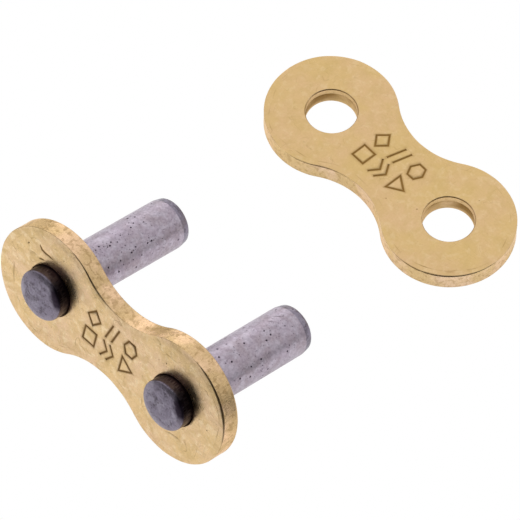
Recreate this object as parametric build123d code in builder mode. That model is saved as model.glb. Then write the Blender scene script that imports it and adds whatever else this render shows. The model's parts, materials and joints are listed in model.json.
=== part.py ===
"""Rivet connecting link of a half-inch pitch roller chain, laid out in its two loose pieces.

One piece is the pin link: an outer plate with two pins staked in it. It leans on the lower rims of its
plate and on the far ends of its pins. The other is the cover plate, which is pressed over the pins and
riveted when the chain is joined. It lies flat behind them, its marked face up.

Millimetres and degrees. +Z is up and the bench is at Z = 0. X runs along the pin link's pitch, the pins
point to +Y and down, and the origin is at the bottom centre of the whole.
"""

from build123d import *
from math import atan2, cos, degrees, radians, sin, tan
import os

# Link plates: the same stamped outline for both
pitch = 12.7
lobe_radius = 5.0
waist_width = 5.9
plate_thickness = 1.5
outer_rim_round = 0.2
inner_rim_chamfer = 0.12

# Pins: plain bodies with a crowned stub in front and a lead-in at the far end, which is drilled for riveting
pin_diameter = 3.9
pin_reach = 10.86
lead_length = 0.62
lead_depth = 0.12
stub_height = 1.1
crown_width = 0.4
crown_drop = 0.16
crown_round = 0.15
seat_swell = 0.02
rivet_hole_diameter = 1.9
rivet_hole_depth = 1.2
drill_point_angle = 118.0

# Holes: the pin plate is staked on the pins, the cover plate is a press fit over them
cover_press = 0.04
hole_chamfer = 0.15
seat_chamfer = 0.12
seat_chamfer_angle = 45.0

# Lie of the cover plate beside the pin link
cover_gap = 9.87
cover_shift = 0.98
cover_turn = -2.35

pin_radius = pin_diameter / 2
seat_radius = pin_radius + seat_swell
cover_hole_radius = (pin_diameter - cover_press) / 2
rivet_hole_radius = rivet_hole_diameter / 2
head_height = plate_thickness + stub_height

# Resting pose of the pin link: the plate's inner rim touches the bench, and so does whichever of the two far
# edges of a pin, at the start and at the end of its lead-in, comes down first
pin_end_radius = pin_radius - lead_depth
lead_start = pin_reach - lead_length
far_edges = ((pin_radius, lead_start), (pin_end_radius, pin_reach))
tilt = min(atan2(lobe_radius - radius, reach + inner_rim_chamfer) for radius, reach in far_edges)
rest_height = lobe_radius * cos(tilt) - inner_rim_chamfer * sin(tilt)

# Extents of the two pieces about the middle of the pin plate's inner face
turn = radians(cover_turn)
link_half_length = pitch / 2 + lobe_radius
cover_half_length = pitch / 2 * cos(turn) + lobe_radius
cover_half_depth = pitch / 2 * abs(sin(turn)) + lobe_radius
cover_y = pin_reach * cos(tilt) + cover_gap + cover_half_depth
rim_centre_height = plate_thickness - outer_rim_round
rim_centre_radius = lobe_radius - outer_rim_round
plate_front = rim_centre_height * cos(tilt) + rim_centre_radius * sin(tilt) + outer_rim_round
stub_front = head_height * cos(tilt) + (seat_radius - crown_width) * sin(tilt)
low_x = min(-link_half_length, cover_shift - cover_half_length)
high_x = max(link_half_length, cover_shift + cover_half_length)
low_y = -max(plate_front, stub_front)
high_y = cover_y + cover_half_depth
middle_x = (low_x + high_x) / 2
middle_y = (low_y + high_y) / 2

# Each plate's plane lies on its inner face: x along the pitch, z out through the marked outer face
link_plane = Plane(
    origin=(-middle_x, -middle_y, rest_height),
    x_dir=(1, 0, 0),
    z_dir=(0, -cos(tilt), sin(tilt)),
)
cover_plane = Plane(
    origin=(cover_shift - middle_x, cover_y - middle_y, 0),
    x_dir=(cos(turn), sin(turn), 0),
    z_dir=(0, 0, 1),
)
hole_centres = ((-pitch / 2, 0), (pitch / 2, 0))

# Outline: a lobe round each hole, joined by a hollow waist arc tangent to both lobes
half_pitch = pitch / 2
half_waist = waist_width / 2
waist_radius = (half_pitch**2 + half_waist**2 - lobe_radius**2) / (2 * (lobe_radius - half_waist))
waist_centre_y = half_waist + waist_radius
tangent_angle = degrees(atan2(waist_centre_y, half_pitch))

with BuildSketch() as plate_outline:
    with BuildLine():
        CenterArc((half_pitch, 0), lobe_radius, 0, 180 - tangent_angle)
        CenterArc((0, waist_centre_y), waist_radius, -tangent_angle, tangent_angle - 90)
        mirror(about=Plane.YZ)
        mirror(about=Plane.XZ)
    make_face()


def stamped_blank(plane):
    """Plate without holes: its inner face on the plane, the outer rim round, the inner rim bevelled."""
    with BuildPart() as blank:
        with BuildSketch(plane):
            add(plate_outline.sketch)
        extrude(amount=plate_thickness)
        outward = Axis(plane.origin, plane.z_dir)
        fillet(blank.faces().sort_by(outward)[-1].edges(), outer_rim_round)
        chamfer(blank.faces().sort_by(outward)[0].edges(), inner_rim_chamfer)
    return blank.part


def finish(part, name):
    """Label a piece and write it to its own file."""
    part.label = name
    export_step(part, f"parts/{name}.step")


os.makedirs("parts", exist_ok=True)

# Pin plate: its holes flare toward the marked face with the staked seats of the pins
link_blank = stamped_blank(link_plane)
seat_flare = degrees(atan2(seat_swell, plate_thickness))
with BuildPart() as pin_plate:
    add(link_blank)
    with BuildSketch(link_plane):
        with Locations(*hole_centres):
            Circle(pin_radius)
    extrude(amount=plate_thickness, taper=-seat_flare, mode=Mode.SUBTRACT)
    with BuildSketch(link_plane.offset(plate_thickness - seat_chamfer)):
        with Locations(*hole_centres):
            Circle(seat_radius)
    extrude(amount=seat_chamfer, taper=-seat_chamfer_angle, mode=Mode.SUBTRACT)
finish(pin_plate.part, "pin_plate")

# Pins: one turned section each, from the stub's face down to the drilled far end
pin_section = (
    (0, head_height),
    (seat_radius - crown_width, head_height),
    (seat_radius, head_height - crown_drop),
    (seat_radius, plate_thickness),
    (pin_radius, 0),
    (pin_radius, -lead_start),
    (pin_end_radius, -pin_reach),
    (rivet_hole_radius, -pin_reach),
    (rivet_hole_radius, rivet_hole_depth - pin_reach),
    (0, rivet_hole_depth + rivet_hole_radius / tan(radians(drill_point_angle / 2)) - pin_reach),
)
for name, side in (("pin_left", -1), ("pin_right", 1)):
    section_plane = Plane(
        origin=link_plane.from_local_coords((side * half_pitch, 0, 0)),
        x_dir=link_plane.x_dir,
        z_dir=-link_plane.y_dir,
    )
    pin_axis = Axis(section_plane.origin, link_plane.z_dir)
    with BuildPart() as pin:
        with BuildSketch(section_plane) as section:
            with BuildLine():
                Polyline(*pin_section, close=True)
            make_face()
            crown_corner = section.vertices().sort_by(Axis.Y)[-3]
            fillet(crown_corner, crown_round)
        revolve(axis=pin_axis)
    finish(pin.part, name)

# Cover plate: two press-fit holes with broken edges
cover_blank = stamped_blank(cover_plane)
with BuildPart() as cover_plate:
    add(cover_blank)
    with BuildSketch(cover_plane):
        with Locations(*hole_centres):
            Circle(cover_hole_radius)
    extrude(amount=plate_thickness, mode=Mode.SUBTRACT)
    flat_faces = cover_plate.faces().filter_by(GeomType.PLANE)
    hole_rims = [rim for face in flat_faces for rim in face.inner_wires().edges()]
    chamfer(hole_rims, hole_chamfer)
finish(cover_plate.part, "cover_plate")
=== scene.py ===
"""Looks of a rivet connecting link for half-inch pitch roller chain, laid out in its two loose pieces.

The pin link is a gold plated plate with two grey steel pins staked in it, and it leans on its plate and the
far ends of its pins. The cover plate lies flat behind it. Each piece is drafted in millimetres in a frame of
its own: x runs along the pitch, y across it and z out through the marked face, with z = 0 on the inner face.
"""

import json
import logging
import math
from abc import ABC, abstractmethod
from dataclasses import dataclass, field
from enum import Enum
from random import Random
from typing import Callable, Dict, Iterable, List, Optional, Sequence, Tuple, Union

import bmesh
import bpy
import numpy as np
from mathutils import Matrix, Vector, noise
from mathutils.geometry import delaunay_2d_cdt


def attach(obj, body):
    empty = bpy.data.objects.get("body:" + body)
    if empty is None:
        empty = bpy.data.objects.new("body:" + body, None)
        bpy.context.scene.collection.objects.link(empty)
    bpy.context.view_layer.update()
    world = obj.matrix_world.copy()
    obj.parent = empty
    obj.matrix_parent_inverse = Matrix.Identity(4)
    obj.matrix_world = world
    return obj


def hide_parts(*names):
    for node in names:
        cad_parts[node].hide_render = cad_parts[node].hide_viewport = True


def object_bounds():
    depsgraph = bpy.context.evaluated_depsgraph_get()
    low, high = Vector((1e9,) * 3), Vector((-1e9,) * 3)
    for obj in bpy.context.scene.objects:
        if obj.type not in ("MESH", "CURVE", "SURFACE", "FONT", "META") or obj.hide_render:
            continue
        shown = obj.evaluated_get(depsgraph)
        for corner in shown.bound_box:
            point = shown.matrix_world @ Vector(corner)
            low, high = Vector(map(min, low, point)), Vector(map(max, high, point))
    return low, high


Point = Tuple[float, float]
Triple = Tuple[float, float, float]
Face = Tuple[int, ...]
Node = bpy.types.Node
Socket = bpy.types.NodeSocket
SocketValue = Union[Socket, float, Sequence[float]]
Paint = Union[Socket, Triple]

MM = 0.001
WELD = 0.00005
SAME_POINT = 1e-6
SHARPEST_MITRE = 0.3
WHITE = (1.0, 1.0, 1.0, 1.0)
BODY = "root"

log = logging.getLogger("connecting_link")
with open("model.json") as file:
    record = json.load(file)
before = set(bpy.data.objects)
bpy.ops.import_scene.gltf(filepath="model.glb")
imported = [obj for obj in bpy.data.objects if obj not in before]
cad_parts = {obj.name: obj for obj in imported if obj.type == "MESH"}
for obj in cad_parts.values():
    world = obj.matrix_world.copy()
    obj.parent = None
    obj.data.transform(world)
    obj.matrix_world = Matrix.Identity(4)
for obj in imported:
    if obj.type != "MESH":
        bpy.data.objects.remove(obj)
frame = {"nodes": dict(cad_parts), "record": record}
cad_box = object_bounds()


class Side(Enum):
    """The two pins and the two holes, by the sign of their x."""

    LEFT = -1
    RIGHT = 1


class Mask(Enum):
    """Shares from 0 to 1 that the meshes carry for their finishes."""

    # Real stains of marks, pits and scratches, and painted shade and painted dark reflections on stubs,
    # seats, rims, hole mouths and steps.
    RECESS = "recess"
    WALL = "wall"
    # The end faces' own darker steel, also laid over the lead-in as painted dark reflection.
    END = "end_face"


class MarkShape(Enum):
    """Plain symbols that are stamped in the plates."""

    DIAMOND = "diamond"
    BARS = "bars"
    HEXAGON = "hexagon"
    SQUARE = "square"
    CHEVRONS = "chevrons"
    ARROWHEAD = "arrowhead"


Masks = Dict[Mask, float]


# ---- drafting


def clamp(value: float, low: float = 0.0, high: float = 1.0) -> float:
    """The value, held between two limits."""
    return max(low, min(high, value))


@dataclass(frozen=True)
class Placement:
    """Where a piece's own frame lies in the part's frame."""

    origin: Vector  # the piece's origin, in metres
    x_axis: Vector  # direction of the pitch
    z_axis: Vector  # direction out of the marked face

    def matrix(self, shift_x: float = 0.0) -> Matrix:
        """Matrix from the piece's frame to the part's frame.

        Args:
            shift_x: How far the origin moves along the pitch, in millimetres.

        Returns:
            The matrix, with no scale in it.
        """
        x_axis, z_axis = self.x_axis.normalized(), self.z_axis.normalized()
        rotation = Matrix((x_axis, z_axis.cross(x_axis), z_axis)).transposed().to_4x4()
        return Matrix.Translation(self.origin + x_axis * shift_x * MM) @ rotation

    def extents(self, node: str, shift_x: float = 0.0) -> Tuple[Vector, Vector]:
        """Extents of a CAD node in the piece's frame.

        Args:
            node: The node.
            shift_x: How far the origin moves along the pitch, in millimetres.

        Returns:
            The lowest and the highest corner, in millimetres.
        """
        inverse = self.matrix(shift_x).inverted()
        local = [inverse @ vertex.co / MM for vertex in frame["nodes"][node].data.vertices]
        low = Vector([min(point[axis] for point in local) for axis in range(3)])
        high = Vector([max(point[axis] for point in local) for axis in range(3)])
        return low, high


def mount(name: str) -> dict:
    """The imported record's mount of that name."""
    return next(entry for entry in frame["record"]["mounts"] if entry["name"] == name)


def mount_place(name: str) -> Vector:
    """Where a mount is, in metres."""
    return Vector(mount(name)["pos_m"])


def mount_radius(name: str) -> float:
    """Radius of a mount's pin or bore, in millimetres."""
    return mount(name)["dims"]["r_mm"]


def placement_from(face: str, left: str, right: str) -> Placement:
    """Placement of a plate, from the mounts on it.

    Args:
        face: Mount on the plate's inner face.
        left: Mount at the left hole.
        right: Mount at the right hole.

    Returns:
        The placement, with its origin in the middle of the inner face.
    """
    pitch_line = mount_place(right) - mount_place(left)
    return Placement(mount_place(face), pitch_line, -Vector(mount(face)["axis"]))


def add_object(name: str, data: bpy.types.ID) -> bpy.types.Object:
    """Adds an object to the scene.

    Args:
        name: Its name.
        data: Its mesh, lamp or lens.

    Returns:
        The object.
    """
    added = bpy.data.objects.new(name, data)
    bpy.context.scene.collection.objects.link(added)
    return added


class MeshDraft:
    """Points, faces and masks of one piece, in millimetres."""

    def __init__(self) -> None:
        """Starts an empty draft."""
        self.points: List[Vector] = []
        self.faces: List[Face] = []
        self.masks: Dict[Mask, List[float]] = {mask: [] for mask in Mask}

    def point(self, place: Sequence[float], masks: Optional[Masks] = None) -> int:
        """Adds a point.

        Args:
            place: Its x, y and z.
            masks: Its masks, where they aren't 0.

        Returns:
            The point's index.
        """
        self.points.append(Vector(place))
        for mask, values in self.masks.items():
            values.append((masks or {}).get(mask, 0.0))
        return len(self.points) - 1

    def loft(self, rings: Sequence[Sequence[int]]) -> None:
        """Joins each closed ring of points to the next by a band of quads.

        Args:
            rings: The rings' indices, all of one length.
        """
        for first, second in zip(rings, rings[1:]):
            for here in range(len(first)):
                after = (here + 1) % len(first)
                self.faces.append((first[here], first[after], second[after], second[here]))

    def fan(self, ring: Sequence[int], tip: Sequence[float], masks: Optional[Masks] = None) -> None:
        """Closes a ring with triangles to one point.

        Args:
            ring: The ring's indices.
            tip: Where the point lies.
            masks: The point's masks.
        """
        centre = self.point(tip, masks)
        for here in range(len(ring)):
            self.faces.append((ring[here], ring[(here + 1) % len(ring)], centre))

    def panel(
        self,
        sheet: "Sheet",
        wrap: Callable[[float, float, float], Sequence[float]],
        masks: Optional[Masks] = None,
    ) -> None:
        """Adds a triangulated sheet.

        Args:
            sheet: The flat sheet.
            wrap: Takes a point's two sheet coordinates and its depth to its place.
            masks: Masks of the whole sheet. The sheet's stains, painted shade among them, go to the
                stain-and-shade mask.
        """
        start = len(self.points)
        for (across, along), depth, stain in zip(sheet.points, sheet.depths, sheet.stains):
            self.point(wrap(across, along, depth), {**(masks or {}), Mask.RECESS: stain})
        self.faces.extend(tuple(start + corner for corner in face) for face in sheet.faces)

    def to_object(self, name: str, matrix: Matrix, crease: float) -> bpy.types.Object:
        """Makes the Blender object.

        Args:
            name: Name of the object and its mesh.
            matrix: Where the piece's frame lies.
            crease: Angle in degrees above which an edge is shaded sharp.

        Returns:
            The object, a closed mesh with its normals outward.
        """
        mesh = bpy.data.meshes.new(name)
        mesh.from_pydata([place * MM for place in self.points], [], self.faces)
        for mask, values in self.masks.items():
            mesh.attributes.new(mask.value, "FLOAT", "POINT").data.foreach_set("value", values)
        editable = bmesh.new()
        editable.from_mesh(mesh)
        bmesh.ops.remove_doubles(editable, verts=editable.verts, dist=WELD * MM)
        bmesh.ops.recalc_face_normals(editable, faces=editable.faces)
        editable.to_mesh(mesh)
        editable.free()
        mesh.polygons.foreach_set("use_smooth", [True] * len(mesh.polygons))
        mesh.set_sharp_from_angle(angle=math.radians(crease))
        piece = add_object(name, mesh)
        piece.matrix_world = matrix
        return piece


def circle(radius: float, count: int, centre: Point = (0.0, 0.0)) -> List[Point]:
    """Points evenly spaced round a circle."""
    turns = (math.tau * step / count for step in range(count))
    return [(centre[0] + radius * math.cos(turn), centre[1] + radius * math.sin(turn)) for turn in turns]


def arc(radius: float, start: float, end: float, count: int, centre: Point) -> List[Point]:
    """Points along an arc, both ends among them, with its angles in degrees."""
    turns = np.radians(np.linspace(start, end, count))
    return [(centre[0] + radius * math.cos(turn), centre[1] + radius * math.sin(turn)) for turn in turns]


def hex_grid(low: Point, high: Point, spacing: float) -> List[Point]:
    """Points of a triangular grid that fills a rectangle.

    Args:
        low: The rectangle's lowest corner.
        high: Its highest corner.
        spacing: Distance between neighbours.

    Returns:
        The points, row by row.
    """
    row_step = math.sqrt(0.75)
    rows = int((high[1] - low[1]) / (spacing * row_step))
    columns = int((high[0] - low[0]) / spacing)
    return [
        (low[0] + (column + 0.5 * (row % 2)) * spacing, low[1] + row * spacing * row_step)
        for row in range(rows + 1)
        for column in range(columns + 1)
    ]


def shifted(path: Sequence[Point], closed: bool, distances: Sequence[float]) -> List[Point]:
    """Path moved to its left, with mitred corners.

    Args:
        path: The path's points.
        closed: Whether its last point joins its first.
        distances: How far each point moves.

    Returns:
        The moved points.
    """
    moved = []
    for index, point in enumerate(path):
        here = Vector(point)
        legs = []
        if closed or index > 0:
            legs.append((here - Vector(path[index - 1])).normalized())
        if closed or index < len(path) - 1:
            legs.append((Vector(path[(index + 1) % len(path)]) - here).normalized())
        normals = [Vector((-leg.y, leg.x)) for leg in legs]
        mitre = sum(normals, Vector((0.0, 0.0))).normalized()
        moved.append(tuple(here + mitre * distances[index] / max(mitre.dot(normals[0]), SHARPEST_MITRE)))
    return moved


def distance_to_path(point: Point, path: Sequence[Point]) -> float:
    """Distance from a point to an open path.

    Args:
        point: The point.
        path: The path's points.

    Returns:
        The distance to its nearest run.
    """
    place = np.array(point)
    starts, ends = np.array(path[:-1], float), np.array(path[1:], float)
    runs = ends - starts
    lengths = np.maximum((runs**2).sum(1), SAME_POINT**2)
    shares = np.clip(((place - starts) * runs).sum(1) / lengths, 0, 1)
    return float(np.linalg.norm(place - starts - runs * shares[:, None], axis=1).min())


@dataclass(frozen=True)
class Chain:
    """Points of a sheet that lie at given depths and are joined in order."""

    points: Sequence[Point]  # their sheet coordinates
    depths: Sequence[float]  # how deep each lies below the sheet
    stain: float  # the stain-and-shade mask of its points
    closed: bool = True  # whether the last point joins the first

    @classmethod
    def rim(cls, points: Sequence[Point]) -> "Chain":
        """A closed chain that lies in the sheet's own plane."""
        return cls(points, [0.0] * len(points), 0.0)


class Recess(ABC):
    """Something sunk into a sheet."""

    @abstractmethod
    def chains(self) -> List[Chain]:
        """The chains that shape it, the mouth first."""

    @abstractmethod
    def clearance(self, point: Point) -> float:
        """Distance from its mouth to a point, below 0 inside it."""


@dataclass(frozen=True)
class Groove(Recess):
    """Stamped channel with a flat floor and sloping walls."""

    path: Sequence[Point]
    closed: bool
    half_width: float = 0.105  # from the centre line to the mouth's edge
    depth: float = 0.04
    wall_run: float = 0.075  # how far the floor's edge lies inside the mouth's
    mouth_stain: float = 0.3  # how dark the mouth's edge is, from 0 to 1
    floor_stain: float = 0.85  # how dark the floor is
    overrun: float = 0.5  # how far an open line's ends are drawn out, as a share of the half width

    def chains(self) -> List[Chain]:
        """Edges of the mouth and of the floor.

        Returns:
            One loop for each, or two where the line closes.
        """
        made = []
        edges = ((0.0, 0.0, self.mouth_stain), (self.wall_run, self.depth, self.floor_stain))
        for inset, depth, stain in edges:
            reach = self.half_width - inset
            if self.closed:
                sides = [shifted(self.path, True, [sign * reach] * len(self.path)) for sign in (1, -1)]
                made += [Chain(side, [depth] * len(side), stain) for side in sides]
            else:
                line = self._lengthened(reach)
                left, right = (shifted(line, False, [sign * reach] * len(line)) for sign in (1, -1))
                made.append(Chain(left + right[::-1], [depth] * 2 * len(line), stain))
        return made

    def clearance(self, point: Point) -> float:
        """Distance from the mouth to a point."""
        line = [*self.path, self.path[0]] if self.closed else self._lengthened(self.half_width)
        return distance_to_path(point, line) - self.half_width

    def _lengthened(self, reach: float) -> List[Point]:
        """The centre line with both ends drawn out.

        Args:
            reach: Half the width of the loop that is drawn round it.

        Returns:
            The line's points.
        """
        first, second = Vector(self.path[0]), Vector(self.path[1])
        last, previous = Vector(self.path[-1]), Vector(self.path[-2])
        start = first + (first - second).normalized() * reach * self.overrun
        end = last + (last - previous).normalized() * reach * self.overrun
        return [tuple(start), *self.path[1:-1], tuple(end)]


@dataclass(frozen=True)
class Scratch(Recess):
    """V-shaped scratch that tapers out at both ends."""

    path: Sequence[Point]  # its bottom line
    half_width: float  # half its width at its widest
    depth: float  # its depth there
    stain: float  # how dark it is, from 0 to 1
    taper: float = 0.6  # power of its taper, blunter below 1

    def chains(self) -> List[Chain]:
        """The mouth's loop and the bottom line inside it.

        Returns:
            The two chains.
        """
        last = len(self.path) - 1
        shares = [math.sin(math.pi * step / last) ** self.taper for step in range(last + 1)]
        widths = [share * self.half_width for share in shares]
        left = shifted(self.path, False, widths)
        right = shifted(self.path, False, [-width for width in widths])
        mouth = [self.path[0], *left[1:-1], self.path[-1], *right[-2:0:-1]]
        bottom = Chain(self.path[1:-1], [share * self.depth for share in shares[1:-1]], self.stain, False)
        return [Chain.rim(mouth), bottom]

    def clearance(self, point: Point) -> float:
        """Distance from the mouth to a point."""
        return distance_to_path(point, self.path) - self.half_width


@dataclass(frozen=True)
class Pit(Recess):
    """Small round pit with an uneven mouth."""

    centre: Point  # where it lies on the sheet
    radius: float
    depth: float  # its depth, below 0 for a grain that stands up
    stain: float  # how dark it is, from 0 to 1
    seed: int  # settles its outline
    corners: int = 9  # points round it
    # Least and greatest share of the radius that a corner reaches
    uneven: Tuple[float, float] = (0.75, 1.2)
    # Share of the radius, of the depth and of the stain, from the mouth to the bottom
    section: Tuple[Triple, ...] = ((1.0, 0.0, 0.0), (0.7, 0.75, 1.0), (0.2, 1.0, 1.0))

    def chains(self) -> List[Chain]:
        """Mouth, slope and bottom.

        Returns:
            One loop for each.
        """
        draw = Random(self.seed)
        reaches = [draw.uniform(*self.uneven) for _ in range(self.corners)]
        made = []
        for share, depth_share, stain_share in self.section:
            points = [
                (self.centre[0] + x * reach * share, self.centre[1] + y * reach * share)
                for (x, y), reach in zip(circle(self.radius, self.corners), reaches)
            ]
            made.append(Chain(points, [self.depth * depth_share] * self.corners, self.stain * stain_share))
        return made

    def clearance(self, point: Point) -> float:
        """Distance from the mouth to a point."""
        return math.dist(point, self.centre) - self.radius * self.uneven[1]


@dataclass(frozen=True)
class Sheet:
    """Flat sheet, triangulated round its rims and recesses."""

    points: List[Point]
    depths: List[float]
    stains: List[float]
    faces: List[Face]


def triangulate(
    rims: Sequence[Chain],
    recesses: Sequence[Recess],
    fill: Iterable[Point],
    margin: float,
    keep: Optional[Callable[[Point], bool]] = None,
) -> Sheet:
    """Triangulates a flat sheet.

    Args:
        rims: Its outer rim and the rims of its holes.
        recesses: What is sunk into it.
        fill: Points that are spread over it.
        margin: Fill points stay this far from recesses.
        keep: Whether a triangle with its centre there belongs to the sheet. Without it all do.

    Returns:
        The sheet.
    """
    places: List[Point] = []
    depths: List[float] = []
    stains: List[float] = []
    edges: List[Tuple[int, int]] = []
    for chain in [*rims, *(part for recess in recesses for part in recess.chains())]:
        start, count = len(places), len(chain.points)
        places.extend(chain.points)
        depths.extend(chain.depths)
        stains.extend([chain.stain] * count)
        runs = count if chain.closed else count - 1
        edges.extend((start + step, start + (step + 1) % count) for step in range(runs))
    spread = [point for point in fill if all(recess.clearance(point) > margin for recess in recesses)]
    level = [0.0] * len(spread)
    vectors = [Vector(point) for point in places + spread]
    placed, _, faces, origins, _, _ = delaunay_2d_cdt(vectors, edges, [], 0, SAME_POINT, True)
    kept = []
    for face in faces:
        centre = sum((placed[corner] for corner in face), Vector((0.0, 0.0))) / len(face)
        if keep is None or keep((centre.x, centre.y)):
            kept.append(tuple(face))
    used = sorted({corner for face in kept for corner in face})
    order = {corner: index for index, corner in enumerate(used)}
    first = [origins[corner][0] if origins[corner] else None for corner in used]

    def carried(values: List[float]) -> List[float]:
        """The values of the points that are used, 0 for a point that the triangulation added."""
        return [0.0 if origin is None else values[origin] for origin in first]

    return Sheet(
        [tuple(placed[corner]) for corner in used],
        carried(depths + level),
        carried(stains + level),
        [tuple(order[corner] for corner in face) for face in kept],
    )


# ---- finishes


class Graph:
    """Places and joins shader nodes in one node tree."""

    mix_inputs = (0, 6, 7)
    mix_output = 2
    column_width = 220

    def __init__(self, tree: bpy.types.NodeTree) -> None:
        """Clears the tree and starts in it.

        Args:
            tree: The tree.
        """
        self.tree = tree
        self.tree.nodes.clear()
        self.place: Optional[Socket] = None
        self.swirl: Optional[Socket] = None

    def add(
        self, kind: str, inputs: Optional[Dict[Union[str, int], SocketValue]] = None, **settings: object
    ) -> Node:
        """Adds a node.

        Args:
            kind: The node's type, without its prefix.
            inputs: Values or sockets for its inputs, by name or number.
            **settings: Properties of the node.

        Returns:
            The node.
        """
        node = self.tree.nodes.new(kind if kind.startswith("Node") else "ShaderNode" + kind)
        node.location.x = self.column_width * len(self.tree.nodes)
        for name, value in settings.items():
            setattr(node, name, value)
        for name, value in (inputs or {}).items():
            self.feed(node.inputs[name], value)
        return node

    def feed(self, socket: Socket, value: SocketValue) -> None:
        """Links a socket to an input, or sets the input's own value.

        Args:
            socket: The input.
            value: Another node's output, or a plain value.
        """
        if isinstance(value, Socket):
            self.tree.links.new(value, socket)
        else:
            socket.default_value = value

    def math(self, operation: str, *values: SocketValue) -> Socket:
        """Result of a Math node."""
        return self.add("Math", dict(enumerate(values)), operation=operation).outputs[0]

    def vector(self, operation: str, *values: SocketValue, output: str = "Vector") -> Socket:
        """Result of a Vector Math node."""
        return self.add("VectorMath", dict(enumerate(values)), operation=operation).outputs[output]

    def noise(self, place: SocketValue, scale: SocketValue, detail: SocketValue) -> Node:
        """Adds a noise, as a number and as a colour."""
        return self.add("TexNoise", {"Vector": place, "Scale": scale, "Detail": detail})

    def weighted(self, base: SocketValue, *terms: Tuple[SocketValue, float]) -> Socket:
        """A value with masks added to it.

        Args:
            base: The value.
            *terms: Each mask and its weight.

        Returns:
            The sum's socket.
        """
        for mask, weight in terms:
            base = self.math("MULTIPLY_ADD", mask, weight, base)
        return base

    def step(
        self, value: SocketValue, low: SocketValue, high: SocketValue, to: Tuple[float, float] = (0.0, 1.0)
    ) -> Socket:
        """Smooth step of a value from one range to another.

        Args:
            value: What is mapped.
            low: Where the step starts.
            high: Where it ends.
            to: The results at its two ends.

        Returns:
            The result's socket.
        """
        inputs = {"Value": value, "From Min": low, "From Max": high, "To Min": to[0], "To Max": to[1]}
        return self.add("MapRange", inputs, interpolation_type="SMOOTHSTEP").outputs["Result"]

    def around(self, value: SocketValue, level: SocketValue, softness: SocketValue) -> Socket:
        """Cuts a value at a level, with a soft border on both sides of it."""
        return self.step(value, self.math("SUBTRACT", level, softness), self.math("ADD", level, softness))

    def blend(self, mask: SocketValue, first: Paint, second: Paint, strength: float = 1.0) -> Socket:
        """Lays one colour over another.

        Args:
            mask: Where the second colour lies, from 0 to 1.
            first: The colour below.
            second: The colour above.
            strength: How much of the second colour shows where the mask is full.

        Returns:
            The colour's socket.
        """
        share = mask if strength == 1.0 else self.math("MULTIPLY", mask, strength)
        colours = [colour if isinstance(colour, Socket) else (*colour, 1.0) for colour in (first, second)]
        inputs = dict(zip(self.mix_inputs, (share, *colours)))
        return self.add("Mix", data_type="RGBA", inputs=inputs).outputs[self.mix_output]

    def lay_out(self, offset: Triple, scale: float, reach: float) -> None:
        """Sets the coordinates of a finish: millimetres on the piece, and the same swirled.

        Args:
            offset: What is added to the piece's own coordinates.
            scale: Scale of the noise that swirls them.
            reach: How far it pushes at most.
        """
        own = self.add("TexCoord").outputs["Object"]
        scaled = self.add("VectorMath", {0: own, "Scale": 1.0 / MM}, operation="SCALE").outputs[0]
        self.place = self.vector("ADD", scaled, offset)
        self.swirl = self.swirled(self.place, scale, reach)

    def swirled(self, place: SocketValue, scale: float, reach: float, detail: float = 2.0) -> Socket:
        """Coordinates pushed about by a noise.

        Args:
            place: The coordinates.
            scale: Scale of the noise.
            reach: How far it pushes at most.
            detail: Detail of the noise.

        Returns:
            The pushed coordinates.
        """
        push = self.noise(place, scale, detail).outputs["Color"]
        return self.vector("MULTIPLY_ADD", push, (reach, reach, reach), place)

    def mask(self, mask: Mask) -> Socket:
        """One of the mesh's masks."""
        return self.add("Attribute", attribute_name=mask.value).outputs["Fac"]

    def effect(self, effect: "Effect", place: SocketValue, **values: SocketValue) -> Socket:
        """Places a shared effect.

        Args:
            effect: The effect.
            place: The coordinates that it is worked out from.
            **values: Its own values here, by the names of its inputs in small letters.

        Returns:
            The effect's mask.
        """
        node = self.add("Group", {"Place": place}, node_tree=effect.tree())
        for name, value in values.items():
            self.feed(node.inputs[name.capitalize()], value)
        return node.outputs["Mask"]

    def metal(
        self, colour: Socket, roughness: Socket, height: Socket, relief: float, edge: Triple = WHITE[:3]
    ) -> None:
        """Ends a metal's material in its shader.

        Args:
            colour: Its colour.
            roughness: Its roughness.
            height: Its small relief.
            relief: How high a step of 1 in it stands, in millimetres.
            edge: Tint of what it mirrors at a glancing angle.
        """
        bump = self.add("Bump", {"Height": height, "Distance": relief * MM, "Strength": 1.0})
        surface = {"Base Color": colour, "Roughness": roughness, "Normal": bump.outputs[0]}
        shader = self.add("BsdfPrincipled", {**surface, "Metallic": 1.0, "Specular Tint": (*edge, 1.0)})
        self.add("OutputMaterial", {"Surface": shader.outputs[0]})


class Effect(ABC):
    """A shader node group that several finishes share, built once.

    Its inputs are Place, which takes coordinates, and those that it names. Its output is Mask.
    """

    name: str
    inputs: Dict[str, Union[float, Triple]]

    def tree(self) -> bpy.types.NodeTree:
        """The group's tree, built the first time it is asked for.

        Returns:
            The tree.
        """
        if self.name in bpy.data.node_groups:
            return bpy.data.node_groups[self.name]
        tree = bpy.data.node_groups.new(self.name, "ShaderNodeTree")
        for name, value in {"Place": WHITE[:3], **self.inputs}.items():
            kind = "NodeSocketFloat" if isinstance(value, float) else "NodeSocketVector"
            tree.interface.new_socket(name=name, in_out="INPUT", socket_type=kind).default_value = value
        tree.interface.new_socket(name="Mask", in_out="OUTPUT", socket_type="NodeSocketFloat")
        graph = Graph(tree)
        given = graph.add("NodeGroupInput").outputs
        graph.add("NodeGroupOutput", {"Mask": self.mask(graph, given)})
        return tree

    @abstractmethod
    def mask(self, graph: Graph, given: bpy.types.NodeOutputs) -> Socket:
        """Builds the group's inside.

        Args:
            graph: The group's graph.
            given: The group's inputs.

        Returns:
            The socket for its output.
        """


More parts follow.
